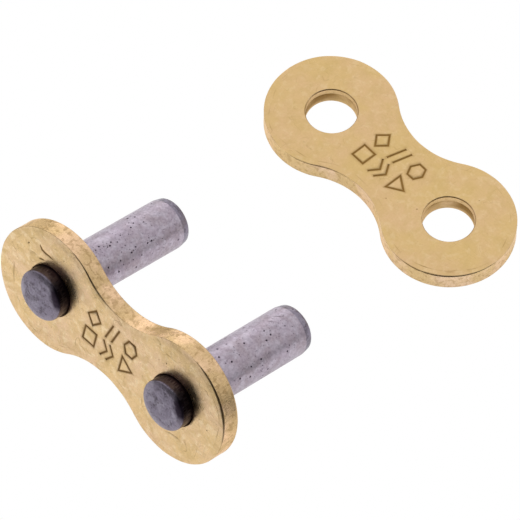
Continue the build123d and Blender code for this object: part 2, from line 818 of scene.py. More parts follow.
class Mottle(Effect):
    """Soft patches of uneven plating or heat tint."""

    name = "Mottle"
    inputs = {"Scale": 1.0, "Detail": 3.0, "Softness": 0.2, "Level": 0.5}

    def mask(self, graph: Graph, given: bpy.types.NodeOutputs) -> Socket:
        """Noise, cut at a level with soft borders."""
        ripple = graph.noise(given["Place"], given["Scale"], given["Detail"])
        return graph.around(ripple.outputs["Fac"], given["Level"], given["Softness"])


class Specks(Effect):
    """Small dark specks, scattered one to a cell in a share of the cells."""

    name = "Specks"
    inputs = {"Scale": 2.0, "Size": 0.1, "Share": 0.3}

    wobble_scale = 9.0
    wobble_reach = 0.06
    least_size = 0.25
    solid_part = 0.35

    def mask(self, graph: Graph, given: bpy.types.NodeOutputs) -> Socket:
        """Distance to a cell's point, against a size that differs from cell to cell.

        Args:
            graph: The group's graph.
            given: The group's inputs.

        Returns:
            The mask's socket.
        """
        nudged = graph.swirled(given["Place"], self.wobble_scale, self.wobble_reach, detail=1.0)
        cells = graph.add("TexVoronoi", {"Vector": nudged, "Scale": given["Scale"]})
        lottery = graph.add("SeparateColor", {0: cells.outputs["Color"]})
        size = graph.math("MULTIPLY", given["Size"], graph.math("ADD", lottery.outputs[1], self.least_size))
        solid = graph.math("MULTIPLY", size, self.solid_part)
        near = graph.step(cells.outputs["Distance"], solid, size, (1.0, 0.0))
        drawn = graph.math("LESS_THAN", lottery.outputs[0], given["Share"])
        return graph.math("MULTIPLY", near, drawn)


class Streaks(Effect):
    """Fine lines drawn out in one direction, as shearing and polishing leave them."""

    name = "Streaks"
    inputs = {"Stretch": (1.0, 1.0, 1.0), "Scale": 8.0, "Contrast": 0.2}

    detail = 4.0
    roughness = 0.6

    def mask(self, graph: Graph, given: bpy.types.NodeOutputs) -> Socket:
        """Noise in a space that is squeezed along the lines.

        Args:
            graph: The group's graph.
            given: The group's inputs.

        Returns:
            The mask's socket.
        """
        squeezed = graph.vector("MULTIPLY", given["Place"], given["Stretch"])
        lines = graph.noise(squeezed, given["Scale"], self.detail)
        lines.inputs["Roughness"].default_value = self.roughness
        return graph.around(lines.outputs["Fac"], 0.5, given["Contrast"])


class HairLines(Effect):
    """Sparse, thin, curved scratches."""

    name = "Hair lines"
    inputs = {"Stretch": (1.0, 1.0, 1.0), "Scale": 1.0, "Width": 0.01}

    gap_scale = 0.9
    gap_levels = (0.5, 0.62)

    def mask(self, graph: Graph, given: bpy.types.NodeOutputs) -> Socket:
        """Level lines of a stretched noise, broken up by a second one.

        Args:
            graph: The group's graph.
            given: The group's inputs.

        Returns:
            The mask's socket.
        """
        drawn = graph.vector("MULTIPLY", given["Place"], given["Stretch"])
        hills = graph.noise(drawn, given["Scale"], 1.0).outputs["Fac"]
        off_line = graph.math("ABSOLUTE", graph.math("SUBTRACT", hills, 0.5))
        lines = graph.step(off_line, 0.0, given["Width"], (1.0, 0.0))
        gaps = graph.noise(given["Place"], self.gap_scale, 2.0).outputs["Fac"]
        return graph.math("MULTIPLY", lines, graph.step(gaps, *self.gap_levels))


MOTTLE, SPECKS, STREAKS, HAIR_LINES = Mottle(), Specks(), Streaks(), HairLines()


def new_material(name: str) -> Tuple[bpy.types.Material, Graph]:
    """An empty node material.

    Args:
        name: Its name.

    Returns:
        The material and its graph.
    """
    material = bpy.data.materials.new(name)
    material.use_nodes = True
    return material, Graph(material.node_tree)


@dataclass(frozen=True)
class GoldPlating:
    """Satin gold-coloured plating on stamped steel."""

    name: str
    base: Triple  # colour of the even face
    blush: Triple  # pinkish patches
    shade: Triple  # duller patches
    cream: Triple  # lighter patches and flecks
    stain: Triple  # brown of the stamped marks and specks, and of the painted shade on rims, hole mouths, steps and seats
    wall: Triple  # colour of the sheared wall
    shear: Triple  # brown of its streaks
    peach: Triple  # its warm patches
    wear: float  # how strong patches and scratches are on the face, from 0 to 1
    roughness: float  # roughness of the even face
    offset: Triple  # where the patches are taken from, so that two plates differ
    edge: Triple = (1.0, 0.88, 0.68)  # tint of what it mirrors at a glancing angle

    def material(self) -> bpy.types.Material:
        """Makes the material, which reads the stain-and-shade and wall masks.

        Returns:
            The material.
        """
        material, graph = new_material(self.name)
        graph.lay_out(self.offset, scale=0.9, reach=0.9)
        wall, sunk = graph.mask(Mask.WALL), graph.mask(Mask.RECESS)
        marks = graph.math("MULTIPLY", self._marks(graph), self.wear)
        face = self._face(graph)
        sheared, torn = self._sheared(graph)
        colour = graph.blend(wall, graph.blend(marks, face, self.stain), sheared)
        # Lays the stain colour over real marks and over the painted shade that the stain-and-shade mask
        # carries.
        colour = graph.blend(graph.step(sunk, 0.0, 0.8, (0.0, 0.93)), colour, self.stain)

        grain = graph.effect(MOTTLE, graph.place, scale=8.0, detail=3.0, softness=0.3)
        waves = graph.effect(MOTTLE, graph.swirl, scale=1.3, detail=4.0, softness=0.3)
        rough = graph.weighted(self.roughness, (grain, 0.08), (torn, 0.08), (sunk, 0.3))
        torn_wall = graph.math("MULTIPLY", torn, wall)
        height = graph.math("MULTIPLY", grain, 0.3)
        height = graph.weighted(height, (waves, 1.2), (marks, -2.0), (torn_wall, -2.5))
        graph.metal(colour, rough, height, relief=0.006, edge=self.edge)
        return material

    def _face(self, graph: Graph) -> Socket:
        """Colour of the even faces.

        Args:
            graph: The material's graph.

        Returns:
            The colour's socket.
        """
        broad = graph.effect(MOTTLE, graph.place, scale=0.4, detail=4.0, softness=0.18)
        dull = graph.effect(MOTTLE, graph.swirl, scale=1.1, detail=6.0, softness=0.16, level=0.55)
        light = graph.effect(MOTTLE, graph.swirl, scale=2.1, detail=5.0, softness=0.12, level=0.6)
        grain = graph.effect(MOTTLE, graph.place, scale=6.0, detail=2.0, softness=0.3)
        flecks = graph.effect(SPECKS, graph.swirl, scale=2.3, size=0.12, share=0.5)
        colour = graph.blend(broad, self.base, self.blush)
        colour = graph.blend(dull, colour, self.shade, strength=0.55 * self.wear)
        bright = graph.math("MAXIMUM", light, flecks)
        colour = graph.blend(bright, colour, self.cream, strength=0.6 * self.wear)
        return graph.blend(grain, colour, self.shade, strength=0.3)

    def _marks(self, graph: Graph) -> Socket:
        """Mask of dark specks and hair-line scratches.

        Args:
            graph: The material's graph.

        Returns:
            The mask's socket.
        """
        specks = graph.effect(SPECKS, graph.place, scale=1.7, size=0.1, share=0.4)
        dust = graph.effect(SPECKS, graph.place, scale=4.0, size=0.11, share=0.25)
        along = graph.effect(HAIR_LINES, graph.place, stretch=(1.0, 0.4, 1.0), scale=0.8, width=0.008)
        across = graph.effect(HAIR_LINES, graph.place, stretch=(0.5, 1.2, 1.0), scale=1.1, width=0.008)
        points, lines = graph.math("MAXIMUM", specks, dust), graph.math("MAXIMUM", along, across)
        return graph.math("MULTIPLY", graph.weighted(points, (lines, 0.8)), 0.5)

    def _sheared(self, graph: Graph) -> Tuple[Socket, Socket]:
        """Colour of the sheared walls.

        Args:
            graph: The material's graph.

        Returns:
            The colour's socket, and that of a mask of how torn they are.
        """
        warm = graph.effect(MOTTLE, graph.place, scale=0.5, detail=3.0, softness=0.12)
        shear = graph.effect(STREAKS, graph.place, stretch=(1.0, 1.0, 0.4), scale=9.0, contrast=0.2)
        blotch = graph.effect(MOTTLE, graph.swirl, scale=2.6, detail=6.0, softness=0.05, level=0.57)
        flecks = graph.effect(SPECKS, graph.swirl, scale=4.5, size=0.24, share=0.5)
        torn = graph.weighted(graph.math("MULTIPLY", blotch, 0.5), (shear, 0.4))
        torn = graph.math("MAXIMUM", torn, graph.math("MULTIPLY", flecks, 0.6))
        colour = graph.blend(warm, self.wall, self.peach)
        return graph.blend(torn, colour, self.shear, strength=0.7), torn


@dataclass(frozen=True)
class PinSteel:
    """Satin grey hardened steel, pitted and spotted."""

    name: str
    offset: Triple  # where the patches are taken from, so that two pins differ
    base: Triple = (0.43, 0.365, 0.435)  # colour of the body
    warm: Triple = (0.39, 0.325, 0.37)  # warmer patches on it
    light: Triple = (0.55, 0.50, 0.58)  # lighter patches on it
    pit: Triple = (0.04, 0.028, 0.045)  # colour of pits and spots, and of the painted shade on the stubs
    end: Triple = (0.235, 0.207, 0.265)  # colour of the end faces
    end_light: Triple = (0.33, 0.305, 0.37)  # lighter patches on the end faces
    end_dark: Triple = (0.07, 0.055, 0.07)  # darker patches on the end faces
    roughness: float = 0.3  # roughness of the body

    def material(self) -> bpy.types.Material:
        """Makes the material, which reads the stain-and-shade and end-face-and-shade masks.

        Returns:
            The material.
        """
        material, graph = new_material(self.name)
        graph.lay_out(self.offset, scale=0.8, reach=1.0)
        body, face = self._body(graph), self._face(graph)
        spots = self._spots(graph)
        # End-face colour on the end faces, and as painted dark reflection on the lead-in.
        colour = graph.blend(graph.mask(Mask.END), body, face)
        colour = graph.blend(spots, colour, self.pit, strength=0.7)
        # Lays the pit colour over pits and over the painted shade on the stubs.
        colour = graph.blend(graph.step(graph.mask(Mask.RECESS), 0.0, 0.7), colour, self.pit)

        grain = graph.effect(MOTTLE, graph.place, scale=5.0, detail=5.0, softness=0.25)
        grind = graph.effect(STREAKS, graph.place, stretch=(1.0, 1.0, 0.3), scale=3.0, contrast=0.25)
        rough = graph.weighted(self.roughness, (grain, 0.12))
        height = graph.weighted(grain, (grind, 0.6), (spots, -1.5))
        graph.metal(colour, rough, height, relief=0.008)
        return material

    def _body(self, graph: Graph) -> Socket:
        """Colour of the body.

        Args:
            graph: The material's graph.

        Returns:
            The colour's socket.
        """
        cloudy = graph.effect(MOTTLE, graph.swirl, scale=0.6, detail=5.0, softness=0.14)
        light = graph.effect(MOTTLE, graph.swirl, scale=1.5, detail=6.0, softness=0.14, level=0.53)
        grain = graph.effect(MOTTLE, graph.place, scale=5.5, detail=3.0, softness=0.16, level=0.52)
        colour = graph.blend(cloudy, self.base, self.warm)
        colour = graph.blend(light, colour, self.light, strength=0.6)
        return graph.blend(grain, colour, self.pit, strength=0.22)

    def _face(self, graph: Graph) -> Socket:
        """Colour of the end faces.

        Args:
            graph: The material's graph.

        Returns:
            The colour's socket.
        """
        light = graph.effect(MOTTLE, graph.swirl, scale=1.1, detail=5.0, softness=0.05, level=0.54)
        dark = graph.effect(MOTTLE, graph.swirl, scale=1.2, detail=6.0, softness=0.05, level=0.54)
        fine = graph.effect(MOTTLE, graph.place, scale=6.0, detail=4.0, softness=0.1, level=0.55)
        dots = graph.effect(SPECKS, graph.place, scale=5.0, size=0.34, share=0.5)
        colour = graph.blend(light, self.end, self.end_light, strength=0.5)
        colour = graph.blend(dark, colour, self.end_dark, strength=0.3)
        speckled = graph.math("MAXIMUM", graph.math("MULTIPLY", fine, 0.7), dots)
        share = graph.math("MULTIPLY", speckled, graph.weighted(0.3, (dark, 0.6)))
        return graph.blend(share, colour, self.end_dark)

    def _spots(self, graph: Graph) -> Socket:
        """Mask of spots in two sizes, the small ones in clusters.

        Args:
            graph: The material's graph.

        Returns:
            The mask's socket.
        """
        large = graph.effect(SPECKS, graph.place, scale=2.2, size=0.17, share=0.5)
        small = graph.effect(SPECKS, graph.place, scale=5.0, size=0.3, share=0.75)
        gather = graph.effect(MOTTLE, graph.place, scale=0.7, detail=2.0, softness=0.14, level=0.45)
        clustered = graph.math("MULTIPLY", small, gather)
        return graph.math("MAXIMUM", large, graph.math("MULTIPLY", clustered, 0.8))


@dataclass(frozen=True)
class FloorPaper:
    """Plain white floor: even white to the eye; to what it lights, matt white with a painted pool of light
    round the part.
    """

    name: str = "Floor paper"
    seen: float = 1.0  # brightness that the camera sees
    albedo: float = 0.6  # share of the light that it sends back
    painted_glow: float = 0.74  # painted light: emission that stands in for light falling on the floor
    middle: Triple = (-0.015, 0.010, 0.0)  # middle of the painted pool of light on the floor
    # How far from there the painted pool of light starts to fall off, and where it is gone, in metres
    lit_to: Tuple[float, float] = (0.038, 0.056)
    dim: float = 0.1  # share of the painted light, in brightness and emission, that is left beyond

    def material(self) -> bpy.types.Material:
        """Makes the material.

        Returns:
            The material.
        """
        material, graph = new_material(self.name)
        place = graph.add("TexCoord").outputs["Object"]
        # A painted pool of light: brighter and emitting near the part, fading beyond.
        out = graph.vector("DISTANCE", place, self.middle, output="Value")
        light = graph.step(out, *self.lit_to, (1.0, self.dim))
        grey = graph.math("MULTIPLY", light, self.albedo)
        colour = graph.add("CombineColor", {0: grey, 1: grey, 2: grey}).outputs[0]
        matt = graph.add("BsdfDiffuse", {"Color": colour}).outputs[0]
        painted_glow = graph.math("MULTIPLY", light, self.painted_glow)
        lit = graph.add("Emission", {"Color": WHITE, "Strength": painted_glow}).outputs[0]
        white = graph.add("AddShader", {0: matt, 1: lit}).outputs[0]
        even = graph.add("Emission", {"Color": WHITE, "Strength": self.seen}).outputs[0]
        looked_at = graph.add("LightPath").outputs["Is Camera Ray"]
        mixed = graph.add("MixShader", {0: looked_at, 1: white, 2: even}).outputs[0]
        graph.add("OutputMaterial", {"Surface": mixed})
        return material


# ---- plates


@dataclass(frozen=True)
class PlateSizes:
    """Sizes of a stamped plate, in millimetres."""

    pitch: float  # distance between its holes
    lobe_radius: float  # radius round each hole
    thickness: float
    waist_width: float = 5.9
    outer_round: float = 0.2  # rounding of the marked face's rim where it is softest
    crisp_round: float = 0.22  # share of that rounding where the rim is crisp
    round_uneven: float = 0.2  # how much that share wanders along the rim
    round_limits: Tuple[float, float] = (0.1, 0.97)  # the least and the most that it can be
    inner_chamfer: float = 0.12  # bevel of the inner face's rim
    roll_width: float = 0.75  # how far the stamping's rolled-in band reaches from the rim
    roll_depth: float = 0.02  # how deep the rim lies under the middle of the face
    crease_place: float = 0.64  # where the faint crease runs, as a share of the band's width
    crease_wander: float = 0.38  # how much that share wanders
    # Across the crease, distance inside it, share of the band's depth, and stain
    crease_section: Tuple[Triple, ...] = (
        (0.06, 0.0, 0.0), (0.0, 0.2, 1.0), (-0.05, 0.2, 0.0), (-0.12, 0.45, 0.0),
    )
    tear_depth: float = 0.03  # how deep shear marks cut into the wall
    tear_smooth: float = 0.35  # share of that depth on the wall's smooth upper part
    tear_from: float = 0.62  # height at which the smooth part ends, as a share of the thickness
    tear_full: float = 0.3  # how far below that the marks are deepest, in the same measure
    # Fine shear marks: waves along the rim, waves down it, and their share of the depth
    tear_fine: Triple = (5.5, 0.7, 0.3)
    tear_broad: Triple = (1.3, 1.1, 0.2)  # broad shear marks, in the same measures
    wave_depth: float = 0.004  # half the depth of the marked face's shallow waves
    wave_scale: float = 0.45
    rim_step: float = 0.09  # spacing of points along the rim
    face_step: float = 0.22  # spacing of points on the faces

    def hole_centre(self, side: Side) -> Point:
        """Where a hole's centre lies."""
        return side.value * self.pitch / 2, 0.0


class WaistedOutline:
    """Two lobes joined by two hollow waist arcs, tangent to them."""

    fewest_points = 8

    def __init__(self, sizes: PlateSizes) -> None:
        """Works out the waist arcs and the stations along the rim.

        Args:
            sizes: The plate's sizes.
        """
        self.half_pitch = sizes.pitch / 2
        self.lobe_radius = sizes.lobe_radius
        half_waist = sizes.waist_width / 2
        reach = self.half_pitch**2 + half_waist**2 - self.lobe_radius**2
        self.waist_radius = reach / (2 * (self.lobe_radius - half_waist))
        self.waist_centre = half_waist + self.waist_radius
        self.tangent_angle = math.degrees(math.atan2(self.waist_centre, self.half_pitch))
        self.stations = self._stations(sizes.rim_step)

    def _stations(self, step: float) -> List[Tuple[Vector, Vector]]:
        """Stations once round the rim, counter-clockwise.

        Args:
            step: Their spacing.

        Returns:
            Each one's place and inward direction.
        """
        bend = 180 - self.tangent_angle
        legs = (
            ((self.half_pitch, 0.0), self.lobe_radius, -bend, bend, -1),
            ((0.0, self.waist_centre), self.waist_radius, -self.tangent_angle, -bend, 1),
            ((-self.half_pitch, 0.0), self.lobe_radius, 180 - bend, 180 + bend, -1),
            ((0.0, -self.waist_centre), self.waist_radius, bend, self.tangent_angle, 1),
        )
        stations = []
        for centre, radius, start, end, inward in legs:
            count = max(self.fewest_points, round(math.radians(abs(end - start)) * radius / step))
            for x, y in arc(radius, start, end, count + 1, centre)[:-1]:
                outward = Vector((x - centre[0], y - centre[1])).normalized()
                stations.append((Vector((x, y)), outward * inward))
        return stations

    def ring(self, inset: float) -> List[Point]:
        """The outline drawn in by an inset."""
        return [tuple(place + inward * inset) for place, inward in self.stations]

    def depth(self, point: Point) -> float:
        """How far inside the rim a point lies.

        Args:
            point: The point.

        Returns:
            Its distance from the rim, below 0 outside it.
        """
        x, y = abs(point[0]), abs(point[1])
        beyond_tangent = (x - self.half_pitch) * self.waist_centre + y * self.half_pitch
        if beyond_tangent > 0:
            return self.lobe_radius - math.hypot(x - self.half_pitch, y)
        return math.hypot(x, y - self.waist_centre) - self.waist_radius


@dataclass(frozen=True)
class MarkLayout:
    """Two rows of stamped symbols, in millimetres."""

    # The symbols of each row, from left to right, the upper row first
    rows: Tuple[Tuple[MarkShape, ...], ...] = (
        (MarkShape.DIAMOND, MarkShape.BARS, MarkShape.HEXAGON),
        (MarkShape.SQUARE, MarkShape.CHEVRONS, MarkShape.ARROWHEAD),
    )
    width: float = 1.25
    height: float = 1.45
    column_step: float = 1.85  # distance between symbols in a row
    row_heights: Tuple[float, float] = (1.05, -0.8)  # where the rows' middles lie across the plate
    centre_x: float = -0.1  # where their middle lies along it

    def grooves(self) -> List[Groove]:
        """Places the symbols.

        Returns:
            The grooves of them all.
        """
        made: List[Groove] = []
        for row, height in zip(self.rows, self.row_heights):
            for column, shape in enumerate(row):
                centre = self.centre_x + (column - (len(row) - 1) / 2) * self.column_step
                for path, closed in self._strokes(shape):
                    placed = [(centre + x * self.width, height + y * self.height) for x, y in path]
                    made.append(Groove(placed, closed))
        return made

    @staticmethod
    def _strokes(shape: MarkShape) -> List[Tuple[List[Point], bool]]:
        """Strokes of a symbol in a cell one wide and one high.

        Args:
            shape: The symbol.

        Returns:
            Each stroke's points, and whether it closes.
        """
        bar = [(-0.16, -0.5), (0.16, 0.5)]
        chevron = [(-0.2, 0.5), (0.2, 0.0), (-0.2, -0.5)]
        return {
            MarkShape.DIAMOND: [([(0.0, 0.5), (-0.5, 0.0), (0.0, -0.5), (0.5, 0.0)], True)],
            MarkShape.BARS: [([(x + shift, y) for x, y in bar], False) for shift in (-0.25, 0.25)],
            MarkShape.HEXAGON: [([(x * 0.5, y * 0.5) for x, y in circle(1.0, 6)], True)],
            MarkShape.SQUARE: [([(-0.45, -0.42), (0.45, -0.42), (0.45, 0.42), (-0.45, 0.42)], True)],
            MarkShape.CHEVRONS: [([(x + shift, y) for x, y in chevron], False) for shift in (-0.26, 0.24)],
            MarkShape.ARROWHEAD: [([(-0.42, 0.5), (-0.42, -0.5), (0.5, 0.0)], True)],
        }[shape]


@dataclass(frozen=True)
class SoftSpot:
    """A place where a plate's rim is rounder than elsewhere."""

    centre: Point  # where it is softest
    softness: float  # how soft it is there, from 0 to 1
    reach: float  # how far from there the rim is crisp again, in millimetres
    falloff: float = 0.7  # power by which it fades, slower at first below 1

    def at(self, place: Vector) -> float:
        """How soft it makes the rim at a place."""
        share = max(0.0, 1.0 - (place - Vector(self.centre)).length / self.reach)
        return self.softness * share**self.falloff


@dataclass(kw_only=True)
class LinkPlate(ABC):
    """A stamped, plated plate with two holes."""

    node: str  # the CAD node that it stands for
    placement: Placement
    sizes: PlateSizes
    finish: GoldPlating
    seed: int  # shifts its small unevenness
    soft_spots: Sequence[SoftSpot]
    marks: MarkLayout = MarkLayout()
    hole_points: int = 176  # points round a hole
    hole_tear: float = 0.4  # the wall mask in the holes
    round_rings: int = 10  # rings of points round the marked face's rim
    wall_rings: int = 9  # rings down the sheared wall
    bevel_rings: int = 4  # rings down the inner face's bevel
    bevel_fade: float = 0.5  # how much the wall mask fades down that bevel
    rim_margin: float = 0.4  # how far the faces' points keep from their rims, in steps
    recess_margin: float = 0.3  # how far they keep from recesses
    rim_shade: float = 0.5  # painted dark reflection in the rounded edge's middle: how dark it is where the edge is softest, from 0 to 1
    wall_fade: float = 1.5  # power by which the wall mask fades round that edge
    # How dark the line along the crease is drawn on average, how much that changes, and what a soft rim adds
    crease_darkness: Triple = (0.1, 0.55, 0.35)
    # How much of the holes' stain and painted shade shows on average, and how much that changes
    hole_stain_and_shade: Tuple[float, float] = (0.8, 0.8)
    crease: float = 32.0  # angle in degrees above which an edge is shaded sharp
    draft: MeshDraft = field(init=False, default_factory=MeshDraft)
    outline: WaistedOutline = field(init=False)  # its rim, worked out from the sizes

    def __post_init__(self) -> None:
        """Works out the outline."""
        self.outline = WaistedOutline(self.sizes)

    @abstractmethod
    def hole_section(self) -> List[Triple]:
        """Radius, height and stain down the hole's wall, painted shade included, from the marked face to the
        inner face.
        """

    @abstractmethod
    def wear(self) -> List[Recess]:
        """Scratches and pits in the marked face."""

    def build(self) -> bpy.types.Object:
        """Builds the plate's closed mesh.

        Returns:
            The piece, in place.
        """
        self._rim()
        self._holes()
        self._faces()
        return self.draft.to_object(self.node + "_plating", self.placement.matrix(), self.crease)

    def dress(self, piece: bpy.types.Object) -> None:
        """Gives the piece its finish and its place in the frame.

        Args:
            piece: The plate's piece.
        """
        piece.data.materials.append(self.finish.material())
        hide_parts(self.node)
        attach(piece, BODY)

    def _uneven(self, x: float, y: float, scale: float, layer: float = 0.0) -> float:
        """Smooth unevenness from -1 to 1, another one in each layer."""
        return noise.noise(Vector((x * scale, y * scale, self.seed + layer)))

    def _waviness(self, x: float, y: float) -> float:
        """Shallow waves of the marked face, always below its true plane."""
        scale = self.sizes.wave_scale
        return -self.sizes.wave_depth * (1.0 + noise.noise(Vector((x * scale + self.seed, y * scale, 0.0))))

    def _softness(self, place: Vector) -> float:
        """How soft the rim is at a point of it, from 0 to 1."""
        return max(spot.at(place) for spot in self.soft_spots)

    def _crease_inset(self, place: Vector) -> float:
        """How far inside the rim the stamping's faint crease runs, at a point of the rim."""
        wander = self._uneven(place.x, place.y, scale=0.3)
        return self.sizes.roll_width * (self.sizes.crease_place + self.sizes.crease_wander * wander)

    def _rounding(self, place: Vector) -> float:
        """Radius of the rim's rounded edge.

        Args:
            place: A point of the rim.

        Returns:
            The radius there.
        """
        crisp, uneven = self.sizes.crisp_round, self.sizes.round_uneven
        share = crisp + (1.0 - crisp) * self._softness(place)
        share += uneven * self._uneven(place.x, place.y, scale=0.9, layer=9.0)
        return self.sizes.outer_round * clamp(share, *self.sizes.round_limits)

    def _rim(self) -> None:
        """Lofts the rim from the rolled-in band over the sheared wall to the inner face."""
        sizes = self.sizes
        top, low = sizes.thickness, sizes.inner_chamfer
        rings = [self._rim_ring(sizes.roll_width, top)]
        rings += [self._crease_ring(*row) for row in sizes.crease_section]
        rings += [self._round_ring(turn) for turn in np.radians(np.linspace(90, 0, self.round_rings))]
        for height in np.linspace(top - sizes.outer_round, low, self.wall_rings + 2)[:-1]:
            torn = clamp((sizes.tear_from * top - height) / (sizes.tear_full * top))
            share = sizes.tear_smooth + (1.0 - sizes.tear_smooth) * torn
            rings.append(self._rim_ring(0.0, height, wall=1.0, tear=sizes.tear_depth * share))
        for turn in np.radians(np.linspace(0, 90, self.bevel_rings)):
            inset, height = low * (1 - math.cos(turn)), low * (1 - math.sin(turn))
            rings.append(self._rim_ring(inset, height, wall=1.0 - self.bevel_fade * math.sin(turn)))
        self.draft.loft(rings)

    def _crease_ring(self, beside: float, sink: float, stain: float) -> List[int]:
        """Adds one ring along the crease.

        Args:
            beside: How far it lies inside the crease.
            sink: How deep it lies, as a share of the rolled-in band's depth.
            stain: Its stain-and-shade mask, a darker line drawn along the crease, which comes and goes along
                the rim.

        Returns:
            The indices of its points.
        """
        ring = []
        mean, change, softened = self.crease_darkness
        for place, inward in self.outline.stations:
            spot = place + inward * (self._crease_inset(place) + beside)
            faint = mean + change * self._uneven(place.x, place.y, scale=0.9, layer=5.0)
            faint = max(0.0, faint + softened * self._softness(place))
            height = self.sizes.thickness - sink * self.sizes.roll_depth + self._waviness(spot.x, spot.y)
            ring.append(self.draft.point((spot.x, spot.y, height), {Mask.RECESS: stain * faint}))
        return ring

    def _round_ring(self, turn: float) -> List[int]:
        """Adds one ring of the rounded edge.

        Args:
            turn: How far its surface is turned up from the wall, in radians.

        Returns:
            The indices of its points.
        """
        ring = []
        wall = math.cos(turn) ** self.wall_fade
        for place, inward in self.outline.stations:
            radius = self._rounding(place)
            spot = place + inward * radius * (1 - math.cos(turn))
            sink = radius * (1 - math.sin(turn)) + self.sizes.roll_depth * math.sin(turn)
            sag = self._waviness(spot.x, spot.y) * max(0.0, 1.0 - wall * 2)
            # Painted dark reflection along the rounded edge, deepest mid-way round it and where the edge is
            # softest.
            stain = self.rim_shade * math.sin(2 * turn) ** 2 * radius / self.sizes.outer_round
            masks = {Mask.WALL: wall, Mask.RECESS: stain}
            ring.append(self.draft.point((spot.x, spot.y, self.sizes.thickness - sink + sag), masks))
        return ring

    def _rim_ring(self, inset: float, height: float, wall: float = 0.0, tear: float = 0.0) -> List[int]:
        """Adds one ring of the rim.

        Args:
            inset: How far it lies inside the outline.
            height: Its height over the inner face.
            wall: Its wall mask.
            tear: How deep shear marks cut into it.

        Returns:
            The indices of its points.
        """
        ring = []
        along, down, fine_share = self.sizes.tear_fine
        wide, deep, broad_share = self.sizes.tear_broad
        on_top = height > self.sizes.thickness / 2
        for place, inward in self.outline.stations:
            fine = noise.noise(Vector((place.x * along + self.seed, place.y * along, height * down)))
            broad = noise.noise(Vector((place.x * wide, place.y * wide + self.seed, height * deep)))
            spot = place + inward * (inset + tear * (0.5 + fine_share * fine + broad_share * broad))
            sag = self._waviness(spot.x, spot.y) * max(0.0, 1.0 - wall * 2) if on_top else 0.0
            ring.append(self.draft.point((spot.x, spot.y, height + sag), {Mask.WALL: wall}))
        return ring

    def _holes(self) -> None:
        """Lofts the walls of both holes."""
        shown, change = self.hole_stain_and_shade
        for side in Side:
            rings = []
            for radius, height, stain in self.hole_section():
                on_face = height > self.sizes.thickness - SAME_POINT
                wall = 0.0 if on_face or height < SAME_POINT else self.hole_tear
                ring = []
                for x, y in circle(radius, self.hole_points, self.sizes.hole_centre(side)):
                    patchy = clamp(shown + change * self._uneven(x, y, scale=0.7, layer=height))
                    sag = self._waviness(x, y) if on_face else 0.0
                    masks = {Mask.WALL: wall, Mask.RECESS: stain * patchy}
                    ring.append(self.draft.point((x, y, height + sag), masks))
                rings.append(ring)
            self.draft.loft(rings)

    def _faces(self) -> None:
        """Triangulates the marked face and the inner face."""
        sizes = self.sizes
        section = self.hole_section()
        marked = self._face_sheet(sizes.roll_width, section[0][0], [*self.marks.grooves(), *self.wear()])
        inner = self._face_sheet(sizes.inner_chamfer, section[-1][0], [])
        self.draft.panel(marked, lambda x, y, depth: (x, y, sizes.thickness - depth + self._waviness(x, y)))
        self.draft.panel(inner, lambda x, y, depth: (x, y, depth))

    def _face_sheet(self, inset: float, hole_radius: float, recesses: Sequence[Recess]) -> Sheet:
        """Triangulates one face.

        Args:
            inset: Inset of the face's rim.
            hole_radius: Radius of its holes.
            recesses: What is sunk into it.

        Returns:
            The face's sheet.
        """
        step = self.sizes.face_step
        centres = [self.sizes.hole_centre(side) for side in Side]
        rims = [self.outline.ring(inset)]
        rims += [circle(hole_radius, self.hole_points, centre) for centre in centres]

        def on_face(point: Point, margin: float = 0.0) -> bool:
            """Whether a point lies on the face, by a margin."""
            clear = all(math.dist(point, centre) > hole_radius + margin for centre in centres)
            return clear and self.outline.depth(point) > inset + margin

        width = self.sizes.lobe_radius
        length = self.sizes.pitch / 2 + width
        grid = hex_grid((-length, -width), (length, width), step)
        fill = [point for point in grid if on_face(point, step * self.rim_margin)]
        chains, margin = [Chain.rim(rim) for rim in rims], step * self.recess_margin
        return triangulate(chains, recesses, fill + centres, margin, on_face)


